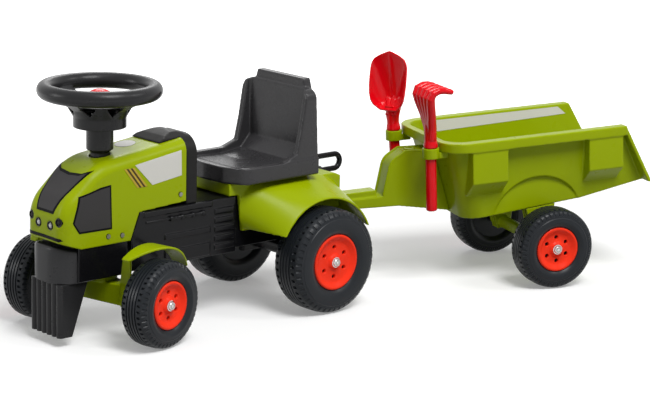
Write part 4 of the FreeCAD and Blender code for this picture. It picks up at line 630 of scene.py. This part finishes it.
grip(shovel)
for flare in (-1, 0, 1):
    tube(shovel, [(0, 0, 205), (3 * flare, 0, 218), (7 * flare, -4, 230), (12 * flare, -9, 243),
                  (16 * flare, -11, 256)], (10.7, 10.0, 8.2, 5.4, 2.4))
for height in THUMB_BARS:
    tube(shovel, [(-9, 8.5, height), (9, 8.5, height)], (2.2, 2.2))
shovel_place = (TRAILER @ Matrix.Translation((RING_X, -RING_Y, RING_MIDDLE))
                @ Matrix.Rotation(SHOVEL_LEAN, 4, "Y")
                @ Matrix.Translation((0, 0, -RING_MIDDLE)) @ Matrix.Rotation(SHOVEL_TURN, 4, "Z"))
shovel.from_mesh(mesh_of(blade, "blade", Matrix.Identity(4)))
shovel_mesh = softened(mesh_of(shovel, "shovel", shovel_place), 0.9, 4)
add_piece("shovel_skin", shovel_mesh, [RED], "shovel", sharp=60.0)


# Wheels: tyres with ring grooves and two rows of short notches, dished rims with six holes, pressed caps.

NOTCHES = 46
NOTCH_PLACES = (0.0, 0.10, 0.34, 0.44, 0.5, 0.60, 0.84, 0.94)
CROWN_ROW, SHOULDER_ROW = NOTCH_PLACES[1:3], NOTCH_PLACES[5:7]
NOTCH_DEPTH = 2.8


def tyre_mesh(radius, half, rim):
    """Closed tyre about the local Y axis, outer side at +Y, in millimetres."""
    bore, hub, web, seat = 5.2, 11.0, 8.0, half - 16.0
    groove, depth = 1.2, 2.2
    side = [(rim + 8, half - 0.6, None), (rim + 10, half, None), (radius - 20, half - 0.2, None),
            (radius - 14.5, half - 0.8, None), (radius - 13.5, half - 1.8, None),
            (radius - 9.5, half - 2.4, None), (radius - 8.5, half * 0.91, SHOULDER_ROW),
            (radius - 4.2, half * 0.83, SHOULDER_ROW), (radius - 2.6, half * 0.76, None),
            (radius - 1.2, half * 0.66, None), (radius - 1.0, half * 0.63, CROWN_ROW),
            (radius - 0.5, half * 0.47, CROWN_ROW), (radius - 0.4, half * 0.44, None)]
    profile = [(bore, -half, None), (hub, -half, None), (hub, web - half, None), (rim, web - half, None),
               (rim + 4, 3 - half, None)]
    profile += [(r, -a, row) for r, a, row in side]
    for middle in (-half * 0.32, -half * 0.11, half * 0.11, half * 0.32):
        profile += [(radius, middle - groove, None), (radius - depth, middle - groove * 0.55, None),
                    (radius - depth, middle + groove * 0.55, None), (radius, middle + groove, None)]
    profile += reversed(side)
    profile += [(rim + 4, half - 2.2, None), (rim + 0.8, half - 5, None), (rim, half - 9, None),
                (rim, seat, None), (hub, seat, None), (bore, seat, None)]
    form = bmesh.new()
    rings = []
    for notch in range(NOTCHES):
        for place in NOTCH_PLACES:
            angle = 2 * math.pi * (notch + place) / NOTCHES
            ring = []
            for r, across, row in profile:
                reach = r - NOTCH_DEPTH if row is not None and place in row else r
                ring.append(form.verts.new((reach * math.cos(angle), across, reach * math.sin(angle))))
            rings.append(ring)
    for index, ring in enumerate(rings):
        following = rings[(index + 1) % len(rings)]
        for low in range(len(profile)):
            high = (low + 1) % len(profile)
            form.faces.new((ring[low], ring[high], following[high], following[low]))
    return form


HOLES = 6
HOLE_RADIUS = 3.7


def rim_mesh(half, rim, hole_circle, place):
    """Dished rim with a rolled lip and six round holes."""
    edge = rim - 0.3
    floor = half - 14.5
    section = [(5.1, floor), (edge, floor), (edge, half - 4.6), (edge - 1.2, half - 3.4),
               (edge - 3.2, half - 3.2), (edge - 5.0, half - 4.0), (edge - 10.0, half - 8.4),
               (edge - 12.5, half - 9.4), (15.0, half - 9.4), (13.0, half - 8.6), (11.0, half - 5.8),
               (9.6, half - 5.0), (5.1, half - 5.0)]
    form = bmesh.new()
    lathe(form, section, 72, closed=True)
    blank = mesh_of(form, "rim", place)
    drills = bmesh.new()
    for hole in range(HOLES):
        drill = bmesh.new()
        lathe(drill, [(0, floor - 4), (HOLE_RADIUS, floor - 4), (HOLE_RADIUS, half - 10.0),
                      (HOLE_RADIUS + 0.7, half - 9.3), (HOLE_RADIUS + 0.7, half), (0, half)], 24)
        angle = 2 * math.pi * hole / HOLES
        shift = Matrix.Translation((hole_circle * math.sin(angle), 0, hole_circle * math.cos(angle)))
        drills.from_mesh(mesh_of(drill, "drill", shift))
    return carved(blank, mesh_of(drills, "drills", place))


def cap_mesh(face, place):
    """Pressed cap over the axle's end: a flange, a dome and a sunk ring."""
    form = bmesh.new()
    lathe(form, [(0, face), (8.6, face), (8.6, face + 0.8), (7.2, face + 1.4), (6.8, face + 3.2),
                 (5.8, face + 4.2), (5.0, face + 4.2), (4.4, face + 1.6), (2.8, face + 1.6),
                 (2.4, face + 4.2), (0, face + 4.8)], 40)
    return mesh_of(form, "cap", place)


WHEELS = {
    # radius, half width, rim radius, circle of the holes
    "rear": (87.5, 34.0, 47.0, 25.0),
    "front": (70.0, 27.0, 39.0, 21.0),
    "trailer": (70.0, 27.0, 39.0, 21.0),
}

for axle, (radius, half, rim, hole_circle) in WHEELS.items():
    for side, outward in (("left", 1), ("right", -1)):
        joint = "%s_wheel_%s_spin" % (axle, side)
        upright = joint_axis("rake_lift") if axle == "trailer" else UP
        place = axes_frame(joint_axis(joint) * outward, upright, joint_point(joint))
        tyre, disc = "%s_tyre_%s" % (axle, side), "%s_rim_%s" % (axle, side)
        tread_mesh = mesh_of(tyre_mesh(radius, half, rim), tyre, place)
        add_piece(tyre + "_tread", tread_mesh, [TYRE], tyre, sharp=30.0)
        add_piece(disc + "_dish", rim_mesh(half, rim, hole_circle, place), [RIM_RED], disc, sharp=40.0)
        cap = "%s_cap_%s" % (axle, side)
        add_piece(cap, cap_mesh(half - 5.0, place), [BRIGHT], axle + "_axle_caps", sharp=40.0)


# Floor, light and camera

def area_light(name, azimuth, elevation, distance, size, power, aim):
    light = bpy.data.lights.new(name, "AREA")
    light.shape = "RECTANGLE"
    light.size, light.size_y = size
    light.energy = power
    holder = bpy.data.objects.new(name, light)
    bpy.context.scene.collection.objects.link(holder)
    flat = math.cos(math.radians(elevation)) * distance
    heading = math.radians(azimuth)
    holder.location = aim + Vector((flat * math.cos(heading), flat * math.sin(heading),
                                    math.sin(math.radians(elevation)) * distance))
    holder.rotation_euler = (aim - holder.location).to_track_quat("-Z", "Y").to_euler()


MIDDLE = Vector((0.0, 0.0, 0.18))
area_light("key", 74.0, 55.0, 5.0, (2.0, 2.0), 198.0, MIDDLE)
area_light("overhead", 20.0, 76.0, 4.0, (1.6, 1.6), 14.0, MIDDLE)
area_light("front", -30.0, 16.0, 4.5, (1.1, 1.4), 34.0, MIDDLE)
area_light("side", 128.0, 42.0, 4.5, (1.0, 1.0), 32.0, MIDDLE)
area_light("edge", 235.0, 38.0, 4.5, (1.4, 2.4), 45.0, MIDDLE)


def seen_directly(tree):
    """One for what the camera sees directly or in a gloss or through glass, nought for the rest."""
    path = tree.nodes.new("ShaderNodeLightPath")
    total = path.outputs["Is Camera Ray"]
    for output in ("Is Glossy Ray", "Is Transmission Ray"):
        largest = tree.nodes.new("ShaderNodeMath")
        largest.operation = "MAXIMUM"
        tree.links.new(total, largest.inputs[0])
        tree.links.new(path.outputs[output], largest.inputs[1])
        total = largest.outputs[0]
    return total


SKY_LIGHT = 0.18

world = bpy.data.worlds.new("studio")
bpy.context.scene.world = world
world.use_nodes = True
sky = world.node_tree.nodes["Background"]
sky.inputs["Color"].default_value = (1, 1, 1, 1)
level = world.node_tree.nodes.new("ShaderNodeMapRange")
level.inputs["To Min"].default_value = SKY_LIGHT
level.inputs["To Max"].default_value = 1.0
world.node_tree.links.new(seen_directly(world.node_tree), level.inputs["Value"])
world.node_tree.links.new(level.outputs["Result"], sky.inputs["Strength"])

FLOOR_SEEN, FLOOR_BOUNCE = 0.80, 0.36
FLOOR_HALF, FLOOR_DROP = 14.0, 0.0006
GLOW_NEAR, GLOW_FAR = 0.26, 1.0
GLOW_REACH = (0.9, 2.2)

floor_material, floor_tree, floor_surface = shader("studio_floor")
floor_surface.inputs["Roughness"].default_value = 0.9
floor_surface.inputs["Specular IOR Level"].default_value = 0.1
floor_surface.inputs["Emission Color"].default_value = (1, 1, 1, 1)
floor_seen = seen_directly(floor_tree)
floor_grain = tinted(floor_tree, noise(floor_tree, 3.0), [FLOOR_SEEN * 0.98] * 3, [FLOOR_SEEN] * 3)
floor_tint = floor_tree.nodes.new("ShaderNodeMix")
floor_tint.data_type = "RGBA"
floor_tint.inputs["A"].default_value = (FLOOR_BOUNCE, FLOOR_BOUNCE, FLOOR_BOUNCE, 1)
floor_tree.links.new(floor_seen, floor_tint.inputs["Factor"])
floor_tree.links.new(floor_grain.outputs["Result"], floor_tint.inputs["B"])
floor_tree.links.new(floor_tint.outputs["Result"], floor_surface.inputs["Base Color"])
floor_spot = floor_tree.nodes.new("ShaderNodeTexCoord")
floor_away = floor_tree.nodes.new("ShaderNodeVectorMath")
floor_away.operation = "LENGTH"
floor_tree.links.new(floor_spot.outputs["Object"], floor_away.inputs[0])
floor_glow = floor_tree.nodes.new("ShaderNodeMapRange")
floor_glow.inputs["From Min"].default_value, floor_glow.inputs["From Max"].default_value = GLOW_REACH
floor_glow.inputs["To Min"].default_value = GLOW_NEAR
floor_glow.inputs["To Max"].default_value = GLOW_FAR
floor_tree.links.new(floor_away.outputs["Value"], floor_glow.inputs["Value"])
floor_shine = floor_tree.nodes.new("ShaderNodeMath")
floor_shine.operation = "MULTIPLY"
floor_tree.links.new(floor_seen, floor_shine.inputs[0])
floor_tree.links.new(floor_glow.outputs["Result"], floor_shine.inputs[1])
floor_tree.links.new(floor_shine.outputs[0], floor_surface.inputs["Emission Strength"])
floor_form = bmesh.new()
bmesh.ops.create_grid(floor_form, x_segments=8, y_segments=8, size=FLOOR_HALF)
floor_mesh = bpy.data.meshes.new("floor")
floor_form.to_mesh(floor_mesh)
floor_form.free()
floor_mesh.materials.append(floor_material)
floor = bpy.data.objects.new("floor", floor_mesh)
floor.location.z = -FLOOR_DROP
bpy.context.scene.collection.objects.link(floor)

CAMERA_PLACE = Vector((2491.3, 2871.4, 1056.3))
CAMERA_AZIMUTH = math.radians(47.824)
CAMERA_ELEVATION = math.radians(13.192)
CAMERA_ROLL = math.radians(1.347)
CAMERA_LENS = 127.96

backward = Vector((math.cos(CAMERA_AZIMUTH) * math.cos(CAMERA_ELEVATION),
                   math.sin(CAMERA_AZIMUTH) * math.cos(CAMERA_ELEVATION), math.sin(CAMERA_ELEVATION)))
level_right = UP.cross(backward).normalized()
level_up = backward.cross(level_right)
right = level_right * math.cos(CAMERA_ROLL) + level_up * math.sin(CAMERA_ROLL)
upward = level_up * math.cos(CAMERA_ROLL) - level_right * math.sin(CAMERA_ROLL)
lens = bpy.data.cameras.new("camera")
lens.sensor_fit = "HORIZONTAL"
lens.sensor_width = 36.0
lens.lens = CAMERA_LENS
lens.clip_end = 100.0
camera = bpy.data.objects.new("camera", lens)
columns = (right, upward, backward)
camera.matrix_world = Matrix.Translation(TRACTOR @ CAMERA_PLACE) @ Matrix(
    [[columns[c][r] for c in range(3)] for r in range(3)]).to_4x4()
bpy.context.scene.collection.objects.link(camera)
bpy.context.scene.camera = camera
bpy.context.scene.view_settings.view_transform = "Standard"
